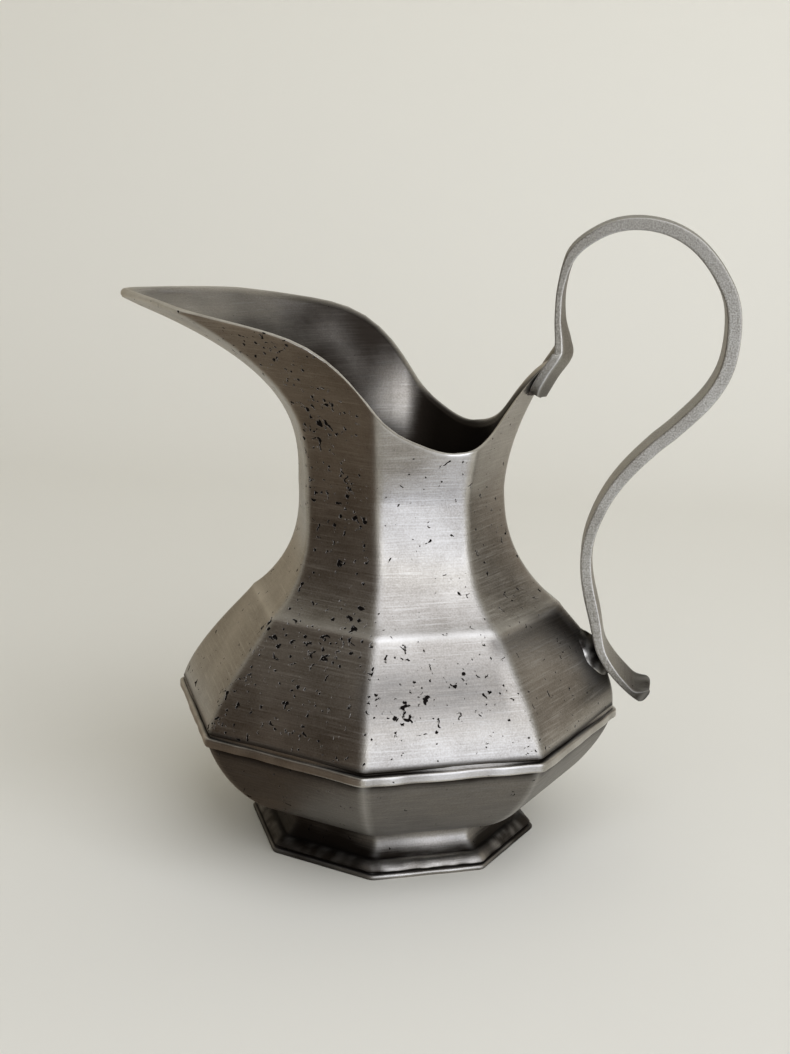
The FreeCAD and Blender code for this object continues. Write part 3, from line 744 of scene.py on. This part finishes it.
# Loop stations from the rear peak: shares of the reach, the rise and the strap's thickness, and near
# the tab also of its extra width and its fold.
LOOP_STATIONS = (
    (0.009, 0.081, 0.74, 0.60, 0.70),
    (-0.026, 0.263, 0.60, 0.20, 0.38),
    (-0.030, 0.507, 0.63, 0.0, 0.19),
    (0.028, 0.755, 0.68),
    (0.195, 0.922, 0.78),
    (0.376, 0.986, 0.84),
    (0.580, 0.958, 0.90),
    (0.760, 0.838, 0.98),
    (0.909, 0.621, 1.03),
    (1.0, 0.360, 1.03),
    (0.996, -0.008, 1.0),
    (0.905, -0.279, 0.97),
    (0.713, -0.553, 0.94),
    (0.482, -0.821, 0.88),
    (0.307, -1.100, 0.80),
)
# Lower leg stations from the lower joint: shares of the bow, the rise, the strap's thickness and the
# tail's extra width.
LEG_STATIONS = (
    (-0.77, 1.0, 0.76, 0.0),
    (-1.0, 0.782, 0.78, 0.0),
    (-0.75, 0.504, 0.84, 0.05),
    (-0.18, 0.279, 0.82, 0.25),
)
# Tail stations beyond the lower joint: shares of the reach, the drop and the tail's thickness.
TAIL_STATIONS = (
    (0.48, 0.53, 0.50),
    (0.745, 0.80, 0.48),
    (1.0, 1.0, 0.80),
)
STATION_STEPS = 6
BEND_PASSES = 24


def back_arris(height):
    share = (height - NECK_HEIGHT) / (MOUTH_HEIGHT - NECK_HEIGHT)
    return flared(NECK_RADIUS, BACK_REACH, share, BACK_CURVE)


def back_fall(height):
    """Fall of the neck's rear panels towards the spout for each millimetre to the side."""
    corners = mouth_corners(height, 0.0, 0.0, MOUTH_HEIGHT)
    return (corners[0].x - corners[1].x) / corners[1].y


def shoulder_arris(height):
    share = shoulder_share(height)
    return shoulder_radius(share) + SHOULDER_SET * share + back_swell(height)


def seated(arris, height, thickness):
    """Centre of a strap that lies on a corner line of the body, and how square to it that line is."""
    run = arris(height + 0.5) - arris(height - 0.5)
    length = math.hypot(run, 1.0)
    lift = SOLDER_GAP + thickness / 2
    return arris(height) + lift / length, height - run / length * lift, 1.0 / length


def handle_stations():
    """Centre, thickness, width, fold and crown of every section from tab to tail."""
    stations = []
    for share in (1.0, 0.5, 0.0):
        x, z, square = seated(back_arris, PEAK_Z - TAB_DROP - share * TAB_LENGTH, TAB_THICKNESS)
        fold = TAB_WIDTH / 2 * square * back_fall(z)
        stations.append((x, z, TAB_THICKNESS, TAB_WIDTH, fold, 0.0))
    for along, rise, thick, *tab in LOOP_STATIONS:
        wide, folded = tab or (0.0, 0.0)
        width = STRAP_WIDTH + wide * (TAB_WIDTH - STRAP_WIDTH)
        crown = STRAP_CROWN if folded == 0 else 0.0
        stations.append((back_arris(PEAK_Z) + along * LOOP_REACH, PEAK_Z + rise * LOOP_RISE,
                         thick * STRAP_THICKNESS, width, folded * fold, crown))
    joint = shoulder_arris(TAIL_CONTACT)
    extra = TAIL_WIDTH - STRAP_WIDTH
    for bow, rise, thick, wide in LEG_STATIONS:
        width = STRAP_WIDTH + wide * extra
        leg = joint - BACK_SWELL * min(1.0, 1.3 * rise)
        stations.append((leg + bow * LEG_BOW, TAIL_CONTACT + rise * LEG_RISE,
                         thick * STRAP_THICKNESS, width, 0.0, STRAP_CROWN))
    for side, wide in ((0.5, 0.45), (-0.5, 0.65)):
        x, z, _ = seated(shoulder_arris, TAIL_CONTACT + side * TAIL_CONTACT_LENGTH, JOINT_THICKNESS)
        width = STRAP_WIDTH + wide * extra
        stations.append((x, z, JOINT_THICKNESS, width, 0.0, 0.3 * STRAP_CROWN))
    for along, drop, thick in TAIL_STATIONS:
        width = TAIL_WIDTH - 0.2 * (1 - along) * extra
        stations.append((joint + along * (TAIL_REACH - BACK_SWELL), TAIL_CONTACT - drop * TAIL_DROP,
                         thick * TAIL_THICKNESS, width, 0.0, 0.0))
    return stations


def curved(first, second, third, fourth, share):
    """A value on a smooth curve from the second to the third."""
    slope_in = (third - first) / 2
    slope_out = (fourth - second) / 2
    rise = third - second
    cubic = slope_in + slope_out - 2 * rise
    square = 3 * rise - 2 * slope_in - slope_out
    return ((cubic * share + square) * share + slope_in) * share + second


def fine_stations():
    """The stations of the handle with more between each pair, and an easy bend into the tail."""
    stations = handle_stations()
    ends = [stations[0]] + stations + [stations[-1]]
    finer = []
    for index in range(len(stations) - 1):
        for step in range(STATION_STEPS):
            group = zip(*ends[index:index + 4])
            finer.append(tuple(curved(*values, step / STATION_STEPS) for values in group))
    finer.append(stations[-1])
    first = int(0.6 * len(finer))
    for _ in range(BEND_PASSES):
        eased_in = list(finer)
        for index in range(first, len(finer) - 1):
            around = zip(finer[index - 1], finer[index], finer[index + 1])
            eased_in[index] = tuple((before + 2 * here + after) / 4 for before, here, after in around)
        finer = eased_in
    return finer


# Handle: the strap's section

EDGE_ROUND = 0.35
EDGE_CUT = 0.3 * EDGE_ROUND
EDGE_STEPS = (0.0, 0.12, 0.5, 0.88, 1.0)
FLAT_CROWN = 0.75
# Round corners and noses of the two ends, and the roll and the dish across the tail
TAB_CORNER = 3.2
TAIL_CORNER = 7.5
TAB_NOSE = 0.5
TAIL_NOSE = 2.4
END_STEPS = 9
END_TURN = 75
TAIL_ROLL = 1.5
TAIL_DISH = 0.5


def strap_outline(thickness, width, fold, crown):
    """Across and sideways places of one section; its crowned side, worn flat, comes first."""
    half = width / 2
    flat = half - EDGE_ROUND
    low = -thickness / 2
    high = thickness / 2 + FLAT_CROWN * crown
    outline = []
    for side in spread(flat, -flat, 13):
        swell = (1 - FLAT_CROWN) * crown * (1 - (side / flat) ** 2)
        outline.append((high + swell + fold * abs(side) / half, side))
    corner = (high - EDGE_CUT + fold, half - EDGE_CUT)
    lower_corner = (low + EDGE_CUT + fold, half - EDGE_CUT)
    upper_edge = high - EDGE_ROUND + fold
    lower_edge = low + EDGE_ROUND + fold
    outline.append((corner[0], -corner[1]))
    outline += [(upper_edge + (lower_edge - upper_edge) * share, -half) for share in EDGE_STEPS]
    outline.append((lower_corner[0], -lower_corner[1]))
    for side in spread(-flat, flat, 11):
        outline.append((low + fold * abs(side) / half, side))
    outline.append(lower_corner)
    outline += [(lower_edge + (upper_edge - lower_edge) * share, half) for share in EDGE_STEPS]
    outline.append(corner)
    return outline


def corner_cut(distance, radius):
    """How much a rounded corner narrows the strap at a distance from its end."""
    inside = max(0.0, radius - distance)
    return radius - math.sqrt(radius * radius - inside * inside)


def strap_ring(station, way, from_tab, from_tail, shrink=1.0, ahead=0.0):
    """One section of the strap; its tail is dished and rolled, and both ends have round corners."""
    x, z, thickness, width, fold, crown = station
    cut = corner_cut(from_tab, TAB_CORNER) + corner_cut(from_tail, TAIL_CORNER)
    narrow = width - 2 * cut
    rolled = TAIL_ROLL * bell(from_tail - 1.3, 1.9)
    dished = TAIL_DISH * bell(from_tail - 5.5, 2.4)
    wear = 0.9 * (1 - 0.6 * bell(from_tail, 12.0))
    grime_and_shade = 0.12 + 0.18 * clamped((z - 130.0) / 45.0)
    grime_and_shade += 0.35 * bell(from_tab, 10.0) + 0.65 * bell(from_tail, 13.0)
    left = Vector((-way.y, way.x))
    ring = []
    for across, side in strap_outline(thickness, narrow, fold * narrow / width, crown):
        lump = 0.7 * noise.noise(Vector((side / 7.0, from_tail / 5.0, 0.0)))
        if across > 0:
            across += rolled * (1 + lump) - dished
        spot = Vector((x, z)) + left * across * shrink + way * ahead
        spot = Vector((spot.x, side * (0.8 + 0.2 * shrink), spot.y))
        on_side = abs(side) > narrow / 2 - 0.01
        wear_and_highlight = 0.0 if on_side else wear * bell(narrow / 2 - abs(side), 0.6)
        # Painted glints on the lumps of the rolled tail
        glint = 1.6 * lump * bell(from_tail - 2.0, 2.2)
        ring.append((spot, max(wear_and_highlight, glint), grime_and_shade, 0.0))
    return ring


def handle_rings():
    stations = fine_stations()
    ends = [Vector(station[:2]) for station in stations]
    rings = []
    for index, station in enumerate(stations):
        way = (ends[min(index + 1, len(ends) - 1)] - ends[max(index - 1, 0)]).normalized()
        from_tab = (ends[index] - ends[0]).length + TAB_NOSE
        from_tail = (ends[index] - ends[-1]).length + TAIL_NOSE
        if index == 0:
            for step in range(END_STEPS):
                turn = math.radians(END_TURN * (1 - step / END_STEPS))
                ahead = TAB_NOSE * math.sin(turn)
                rings.append(strap_ring(station, way, from_tab - ahead, from_tail, math.cos(turn), -ahead))
        rings.append(strap_ring(station, way, from_tab, from_tail))
    for step in range(END_STEPS):
        turn = math.radians(END_TURN * (step + 1) / END_STEPS)
        ahead = TAIL_NOSE * math.sin(turn)
        rings.append(strap_ring(stations[-1], way, from_tab, TAIL_NOSE - ahead, math.cos(turn), ahead))
    return rings


# Solder squeezed out at the lower joint

LUMP_LENGTH = 6.5
LUMP_WIDTH = 7.6
LUMP_DEPTH = 2.0
LUMP_COLUMNS = 40
LUMP_RINGS = 21


def rear_panel(side, height):
    """Place on the shoulder's rear panels, so far to the side of their corner."""
    corners = outside_corners(height)
    corner = corners[1] if side > 0 else corners[7]
    fall = (corners[0].x - corner.x) / abs(corner.y)
    return Vector((corners[0].x - fall * abs(side), side, height))


def lower_joint_rings():
    """A rough flat lump that wraps the shoulder's rear corner under the tail."""
    run = shoulder_arris(TAIL_CONTACT + 0.5) - shoulder_arris(TAIL_CONTACT - 0.5)
    outward = Vector((1.0, 0.0, -run)).normalized()
    rings = []
    for turn in spread(-86.0, 86.0, LUMP_RINGS):
        turn = math.radians(turn)
        ring = []
        for column in range(LUMP_COLUMNS):
            around = math.radians(360 * column / LUMP_COLUMNS)
            level = math.cos(turn)
            way = Vector((level * math.cos(around), level * math.sin(around), math.sin(turn)))
            way *= 1 + 0.15 * noise.noise(way * 1.3)
            point = rear_panel(LUMP_WIDTH * way.y, TAIL_CONTACT + LUMP_LENGTH * way.z)
            swell = noise.noise(point / 2.6)
            point += outward * LUMP_DEPTH * way.x * abs(way.x) * (1 + 0.7 * swell)
            # Painted glints on the lump's swells, and painted shade between them, over the joint's dirt and
            # shade
            ring.append((point, max(0.0, 2.2 * swell), joint_dirt_and_shade(point) - 0.4 * swell, 0.0))
        rings.append(ring)
    return rings


# Shader nodes

def linear(colour):
    """Linear colour from an sRGB hex value."""
    parts = []
    for start in (1, 3, 5):
        value = int(colour[start:start + 2], 16) / 255
        parts.append(value / 12.92 if value <= 0.04045 else ((value + 0.055) / 1.055) ** 2.4)
    return (*parts, 1.0)


def add(tree, kind, settings=None, inputs=None):
    """Add a node with its settings, its values and its links."""
    made = tree.nodes.new(kind)
    for name, value in (settings or {}).items():
        setattr(made, name, value)
    for name, value in (inputs or {}).items():
        if isinstance(value, bpy.types.NodeSocket):
            tree.links.new(value, made.inputs[name])
        else:
            made.inputs[name].default_value = value
    return made


def calc(tree, operation, *values):
    """The outcome of a sum on sockets and numbers."""
    return add(tree, "ShaderNodeMath", {"operation": operation}, dict(enumerate(values))).outputs[0]


def noised(tree, place, size, detail, others=None):
    """Noise whose largest features have a size in millimetres."""
    inputs = {"Vector": place, "Scale": 1 / size, "Detail": detail, **(others or {})}
    return add(tree, "ShaderNodeTexNoise", None, inputs).outputs["Fac"]


def lined(tree, place, turn, length, gap, detail):
    """Brushed lines of a length and a spacing in millimetres, turned from the level."""
    inputs = {"Vector": place, "Rotation": turn, "Scale": (1 / length, 1 / length, 1 / gap)}
    lines = add(tree, "ShaderNodeMapping", None, inputs).outputs[0]
    return noised(tree, lines, 1.0, detail)


def ramped(tree, value, low, high, start=0.0, stop=1.0, kind="LINEAR"):
    """A value taken from one range to another."""
    inputs = {"Value": value, "From Min": low, "From Max": high, "To Min": start, "To Max": stop}
    return add(tree, "ShaderNodeMapRange", {"interpolation_type": kind}, inputs).outputs["Result"]


def mixed(tree, share, first, second):
    """A colour between two colours."""
    inputs = {"Factor": share, 6: first, 7: second}
    return add(tree, "ShaderNodeMix", {"data_type": "RGBA"}, inputs).outputs[2]


def carried(tree, layer):
    """A value that the skin carries from point to point."""
    return add(tree, "ShaderNodeAttribute", {"attribute_name": layer}).outputs["Fac"]


def bumped(tree, shader, height, depth):
    """Give a shader relief of a depth in millimetres."""
    inputs = {"Height": height, "Strength": 1.0, "Distance": depth * MM}
    bump = add(tree, "ShaderNodeBump", None, inputs).outputs[0]
    tree.links.new(bump, shader.inputs["Normal"])


def new_material(name, values):
    """A new material with values for its shader."""
    material = bpy.data.materials.new(name)
    material.use_nodes = True
    shader = material.node_tree.nodes["Principled BSDF"]
    for label, value in values.items():
        shader.inputs[label].default_value = value
    return material


def new_metal(name):
    """A new metal, its tree and shader, and places on it in millimetres."""
    material = new_material(name, {"Metallic": 1.0})
    tree = material.node_tree
    coords = add(tree, "ShaderNodeTexCoord").outputs["Object"]
    inputs = {0: coords, "Scale": 1 / MM}
    place = add(tree, "ShaderNodeVectorMath", {"operation": "SCALE"}, inputs).outputs[0]
    return material, tree, tree.nodes["Principled BSDF"], place


# Materials

# Dirt colour, also used for painted shade; rubbed metal colour, also used for painted highlights
DIRT_AND_SHADE = "#2b2621"
WEAR_AND_HIGHLIGHT_METAL = "#e0ddd6"
PIT_BLACK = "#1c1917"


def specked(tree, place, crowd, cell, size, share):
    """Ragged round specks up to a size in millimetres, in a share of cells of that width."""
    inputs = {"Vector": place, "Scale": 2.8 / cell, "Detail": 2.0}
    warp = add(tree, "ShaderNodeTexNoise", None, inputs).outputs["Color"]
    inputs = {0: warp, 1: (0.5 * cell,) * 3, 2: place}
    bent = add(tree, "ShaderNodeVectorMath", {"operation": "MULTIPLY_ADD"}, inputs).outputs[0]
    cells = add(tree, "ShaderNodeTexVoronoi", None, {"Vector": bent, "Scale": 1 / cell}).outputs
    chance = add(tree, "ShaderNodeSeparateColor", None, {"Color": cells["Color"]}).outputs["Red"]
    chosen = calc(tree, "SUBTRACT", calc(tree, "MULTIPLY", crowd, share), chance)
    reach = calc(tree, "MULTIPLY", chosen, size / cell / share)
    depth = calc(tree, "SUBTRACT", reach, cells["Distance"])
    return ramped(tree, depth, 0.0, 0.12 / cell, kind="SMOOTHSTEP")


def torn_open(tree, place, crowd):
    """Torn pits of 1 to 3 mm where a crumpled noise peaks."""
    peaks = noised(tree, place, 2.3, 3.0, {"Roughness": 0.5, "Distortion": 0.7})
    peaks = calc(tree, "MULTIPLY_ADD", crowd, 0.13, peaks)
    return ramped(tree, peaks, 0.74, 0.763, kind="SMOOTHSTEP")


def aged_pewter(name, light, dark, rough, grain_depth, scratch):
    """Grey-brown cast pewter with brushed lines, black pits, recesses darkened by dirt and painted shade,
    and corners brightened by wear and painted highlights.
    """
    material, tree, shader, place = new_metal(name)
    # Cloudy tarnish about 22 mm across
    cloud = noised(tree, place, 22, 6.0, {"Roughness": 0.62})
    # Brushed lines 0.4 mm apart and about 14 mm long, nearly level, and fainter ones across them
    level = lined(tree, place, (0.04, 0.05, 0.0), 14, 0.4, 3.0)
    slanted = lined(tree, place, (0.0, 0.75, 0.0), 9, 0.35, 2.0)
    brushed = add(tree, "ShaderNodeMix", None, {"Factor": 0.4, "A": level, "B": slanted}).outputs[0]
    # Cast grain of 0.5 mm
    grain = noised(tree, place, 0.5, 2.0)
    # Torn casting pits of 1 to 3 mm and specks under 1 mm, in clusters of 18 mm
    pitted = carried(tree, "pitted")
    crowd = ramped(tree, noised(tree, place, 18, 2.0), 0.35, 0.65, 0.5, 1.0)
    crowd = calc(tree, "MULTIPLY", crowd, pitted)
    specks = specked(tree, place, crowd, 1.9, 0.85, 0.6)
    pits = calc(tree, "MAXIMUM", torn_open(tree, place, crowd), specks)
    # Dirt and painted shade follow the shape, in clouds and in streaks, which are strongest on the pitted
    # outside
    grime_and_shade = calc(tree, "MULTIPLY_ADD", cloud, 0.5, carried(tree, "grime_and_shade"))
    streak = calc(tree, "MULTIPLY_ADD", pitted, 0.8, 0.15)
    streak = calc(tree, "MINIMUM", streak, 0.36)
    grime_and_shade = calc(tree, "MULTIPLY_ADD", calc(tree, "SUBTRACT", level, 0.5), streak, grime_and_shade)
    grime_and_shade = ramped(tree, grime_and_shade, 0.305, 1.155, kind="SMOOTHSTEP")
    # Wear and painted highlights follow the shape; the deepest brushed lines are bright scratches, filled
    # where dirt and painted shade lie
    wear_and_highlight = calc(tree, "MULTIPLY", carried(tree, "wear_and_highlight"), cloud)
    scratched = ramped(tree, level, 0.54, 0.74, 0.0, scratch, "SMOOTHSTEP")
    filled = calc(tree, "MULTIPLY", scratched, calc(tree, "MULTIPLY", grime_and_shade, grime_and_shade))
    wear_and_highlight = calc(tree, "MAXIMUM", wear_and_highlight, calc(tree, "SUBTRACT", scratched, filled))
    # Colour
    tone = calc(tree, "MULTIPLY_ADD", brushed, 0.55, cloud)
    tone = calc(tree, "MULTIPLY_ADD", grain, 4 * grain_depth, tone)
    tone = ramped(tree, tone, 0.5 + 2 * grain_depth, 1.05 + 2 * grain_depth)
    base = mixed(tree, tone, linear(dark), linear(light))
    base = mixed(tree, grime_and_shade, base, linear(DIRT_AND_SHADE))
    base = mixed(tree, wear_and_highlight, base, linear(WEAR_AND_HIGHLIGHT_METAL))
    base = mixed(tree, pits, base, linear(PIT_BLACK))
    tree.links.new(base, shader.inputs["Base Color"])
    # Roughness
    gloss = ramped(tree, brushed, 0.3, 0.7, rough - 0.05, rough + 0.06)
    gloss = calc(tree, "MULTIPLY_ADD", grime_and_shade, 0.2, gloss)
    gloss = calc(tree, "MULTIPLY_ADD", pits, 0.4, gloss)
    tree.links.new(calc(tree, "MINIMUM", gloss, 1.0), shader.inputs["Roughness"])
    # Relief
    height = calc(tree, "MULTIPLY", brushed, 0.07)
    height = calc(tree, "MULTIPLY_ADD", grain, grain_depth, height)
    height = calc(tree, "MULTIPLY_ADD", cloud, 0.6, height)
    height = calc(tree, "SUBTRACT", height, pits)
    bumped(tree, shader, height, 0.3)
    return material


def soft_solder(name):
    """Dark tin-lead solder with a lumpy, dirty surface."""
    material, tree, shader, place = new_metal(name)
    lumps = noised(tree, place, 2.5, 4.0)
    base = mixed(tree, lumps, linear("#171412"), linear("#5a534b"))
    tree.links.new(base, shader.inputs["Base Color"])
    shader.inputs["Roughness"].default_value = 0.5
    bumped(tree, shader, lumps, 0.4)
    return material


# Pieces

body_pewter = aged_pewter("aged_cast_pewter", "#b3aea6", "#807a71", 0.36, 0.12, 0.2)
handle_pewter = aged_pewter("worn_strap_pewter", "#a9a59b", "#726d63", 0.42, 0.25, 0.0)
solder = soft_solder("dark_soft_solder")

# Name, rings, whether the ends join, finish, slot, node that the piece stands for
PIECES = (
    ("upper_body_cast", upper_body_rings, True, body_pewter, "body_pewter", "upper_body"),
    ("lower_bowl_cast", lower_bowl_rings, False, body_pewter, "body_pewter", "lower_bowl"),
    ("foot_cast", foot_rings, True, body_pewter, "body_pewter", "foot"),
    ("belly_seam_fill", belly_solder_rings, True, body_pewter, "solder", "belly_seam_solder"),
    ("handle_strap", handle_rings, False, handle_pewter, "handle_pewter", "handle"),
    ("lower_joint_fill", lower_joint_rings, False, body_pewter, "solder", "handle_lower_solder"),
)
for name, rings, joined, finish, slot, node in PIECES:
    piece = drawn_skin(name, rings(), joined)
    piece.data.materials.append(finish)
    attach(piece, "root")
    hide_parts(node)
for node in ("foot_seam_solder", "handle_upper_solder"):
    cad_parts[node].data.materials.clear()
    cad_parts[node].data.materials.append(solder)

# Stage, in metres: a pale sweep that runs from the table up to a far wall

SWEEP_BACK = 0.74
SWEEP_RADIUS = 0.3
SWEEP_WIDTH = 3.0
SWEEP_FRONT = -1.5
SWEEP_TOP = 1.6
SWEEP_STEPS = 12


def pale_sweep():
    """A plane whose back edge is pulled up round a curve into a wall."""
    bpy.ops.object.select_all(action="DESELECT")
    bpy.ops.mesh.primitive_plane_add(size=1.0)
    sweep = bpy.context.object
    sweep.name = "pale_sweep"
    bpy.ops.object.mode_set(mode="EDIT")
    bpy.ops.mesh.select_mode(type="EDGE")
    mesh = bmesh.from_edit_mesh(sweep.data)
    bend = SWEEP_BACK - SWEEP_RADIUS
    for vert in mesh.verts:
        vert.co.x = math.copysign(SWEEP_WIDTH / 2, vert.co.x)
        vert.co.y = bend if vert.co.y > 0 else SWEEP_FRONT
    bpy.ops.mesh.select_all(action="DESELECT")
    for edge in mesh.edges:
        edge.select_set(all(vert.co.y > 0 for vert in edge.verts))
    for step in range(SWEEP_STEPS + 1):
        bpy.ops.mesh.extrude_edges_move()
        mesh = bmesh.from_edit_mesh(sweep.data)
        turn = math.radians(90) * (step + 1) / SWEEP_STEPS
        for vert in mesh.verts:
            if vert.select and step < SWEEP_STEPS:
                vert.co.y = bend + SWEEP_RADIUS * math.sin(turn)
                vert.co.z = SWEEP_RADIUS * (1 - math.cos(turn))
            elif vert.select:
                vert.co.z = SWEEP_TOP
    bpy.ops.object.mode_set(mode="OBJECT")
    bpy.ops.object.shade_smooth_by_angle(angle=math.radians(30))
    matt = {"Base Color": linear("#e5e2d8"), "Roughness": 0.8, "Specular IOR Level": 0.0}
    sweep.data.materials.append(new_material("pale_backdrop_paint", matt))
    return sweep


def studio_card(name, place, width, height, colour, strength, standing=True):
    """A card beside the camera's view, which only the metal's reflections show."""
    bpy.ops.object.select_all(action="DESELECT")
    facing = Vector((-place[0], -place[1], 0.0)) if standing else Vector((0.0, 0.0, 1.0))
    turn = facing.to_track_quat("Z", "Y").to_euler()
    bpy.ops.mesh.primitive_plane_add(size=1.0, location=place, rotation=turn)
    card = bpy.context.object
    card.name = name
    card.dimensions = (width, height, 0.0)
    glow = {"Emission Color": linear(colour), "Emission Strength": strength}
    card.data.materials.append(new_material(name, {"Base Color": linear("#000000"), **glow}))
    card.visible_camera = False
    card.visible_diffuse = False
    card.visible_shadow = False
    return card


pale_sweep()
studio_card("dim_room_card", (-0.26, -0.20, 0.16), 0.46, 0.60, "#4d3f31", 1.0)
studio_card("dim_floor_card", (-0.17, -0.16, 0.001), 0.28, 0.36, "#685a4b", 1.0, False)
studio_card("dim_spout_card", (-0.17, 0.06, 0.001), 0.28, 0.10, "#908271", 1.0, False)
studio_card("warm_side_card", (-0.31, 0.39, 0.12), 0.50, 0.50, "#a89c86", 1.0)
studio_card("shaded_side_card", (0.27, 0.21, 0.10), 0.26, 0.26, "#aca295", 1.0)
studio_card("bright_floor_card", (0.185, -0.23, 0.001), 0.24, 0.20, "#e0e9ff", 1.65, False)
studio_card("bright_low_card", (0.23, -0.29, 0.10), 0.34, 0.26, "#e8efff", 2.55)

# Light: a large window in front on the right, dimmer sky above it, and the pale room round about

LIGHT_AIM = Vector((0.0, 0.0, 0.1))
scene = bpy.context.scene


def softbox(name, place, width, height, brightness, colour):
    """A soft rectangular light that faces the pitcher; brightness is its radiance."""
    lamp = bpy.data.lights.new(name, "AREA")
    lamp.shape = "RECTANGLE"
    lamp.size = width
    lamp.size_y = height
    lamp.energy = brightness * math.pi * width * height
    lamp.color = linear(colour)[:3]
    holder = bpy.data.objects.new(name, lamp)
    scene.collection.objects.link(holder)
    holder.location = place
    holder.rotation_euler = (LIGHT_AIM - holder.location).to_track_quat("-Z", "Y").to_euler()


softbox("window", (0.95, -1.13, 0.25), 2.0, 1.5, 2.5, "#f4f8ff")
softbox("sky", (0.55, -0.66, 1.40), 1.6, 1.2, 2.05, "#e9efff")

world = bpy.data.worlds.new("pale_room")
scene.world = world
world.use_nodes = True
room = world.node_tree.nodes["Background"].inputs
room["Color"].default_value = linear("#f5f1e6")
room["Strength"].default_value = 0.45

# Camera at the photograph's place

CAMERA_PLACE = Vector((56.28, -470.44, 217.6)) * MM
CAMERA_AIM = Vector((-1.38, -0.17, 94.45)) * MM
CAMERA_ROLL = math.radians(1.6)
CAMERA_LENS = 55.6
camera = bpy.data.cameras.new("camera")
camera.sensor_width = 36.0
camera.lens = CAMERA_LENS
camera.clip_start = 0.01
viewer = bpy.data.objects.new("camera", camera)
scene.collection.objects.link(viewer)
viewer.location = CAMERA_PLACE
look = (CAMERA_AIM - CAMERA_PLACE).to_track_quat("-Z", "Y")
viewer.rotation_mode = "QUATERNION"
viewer.rotation_quaternion = look @ Quaternion((0.0, 0.0, 1.0), CAMERA_ROLL)
scene.camera = viewer
scene.view_settings.view_transform = "Standard"
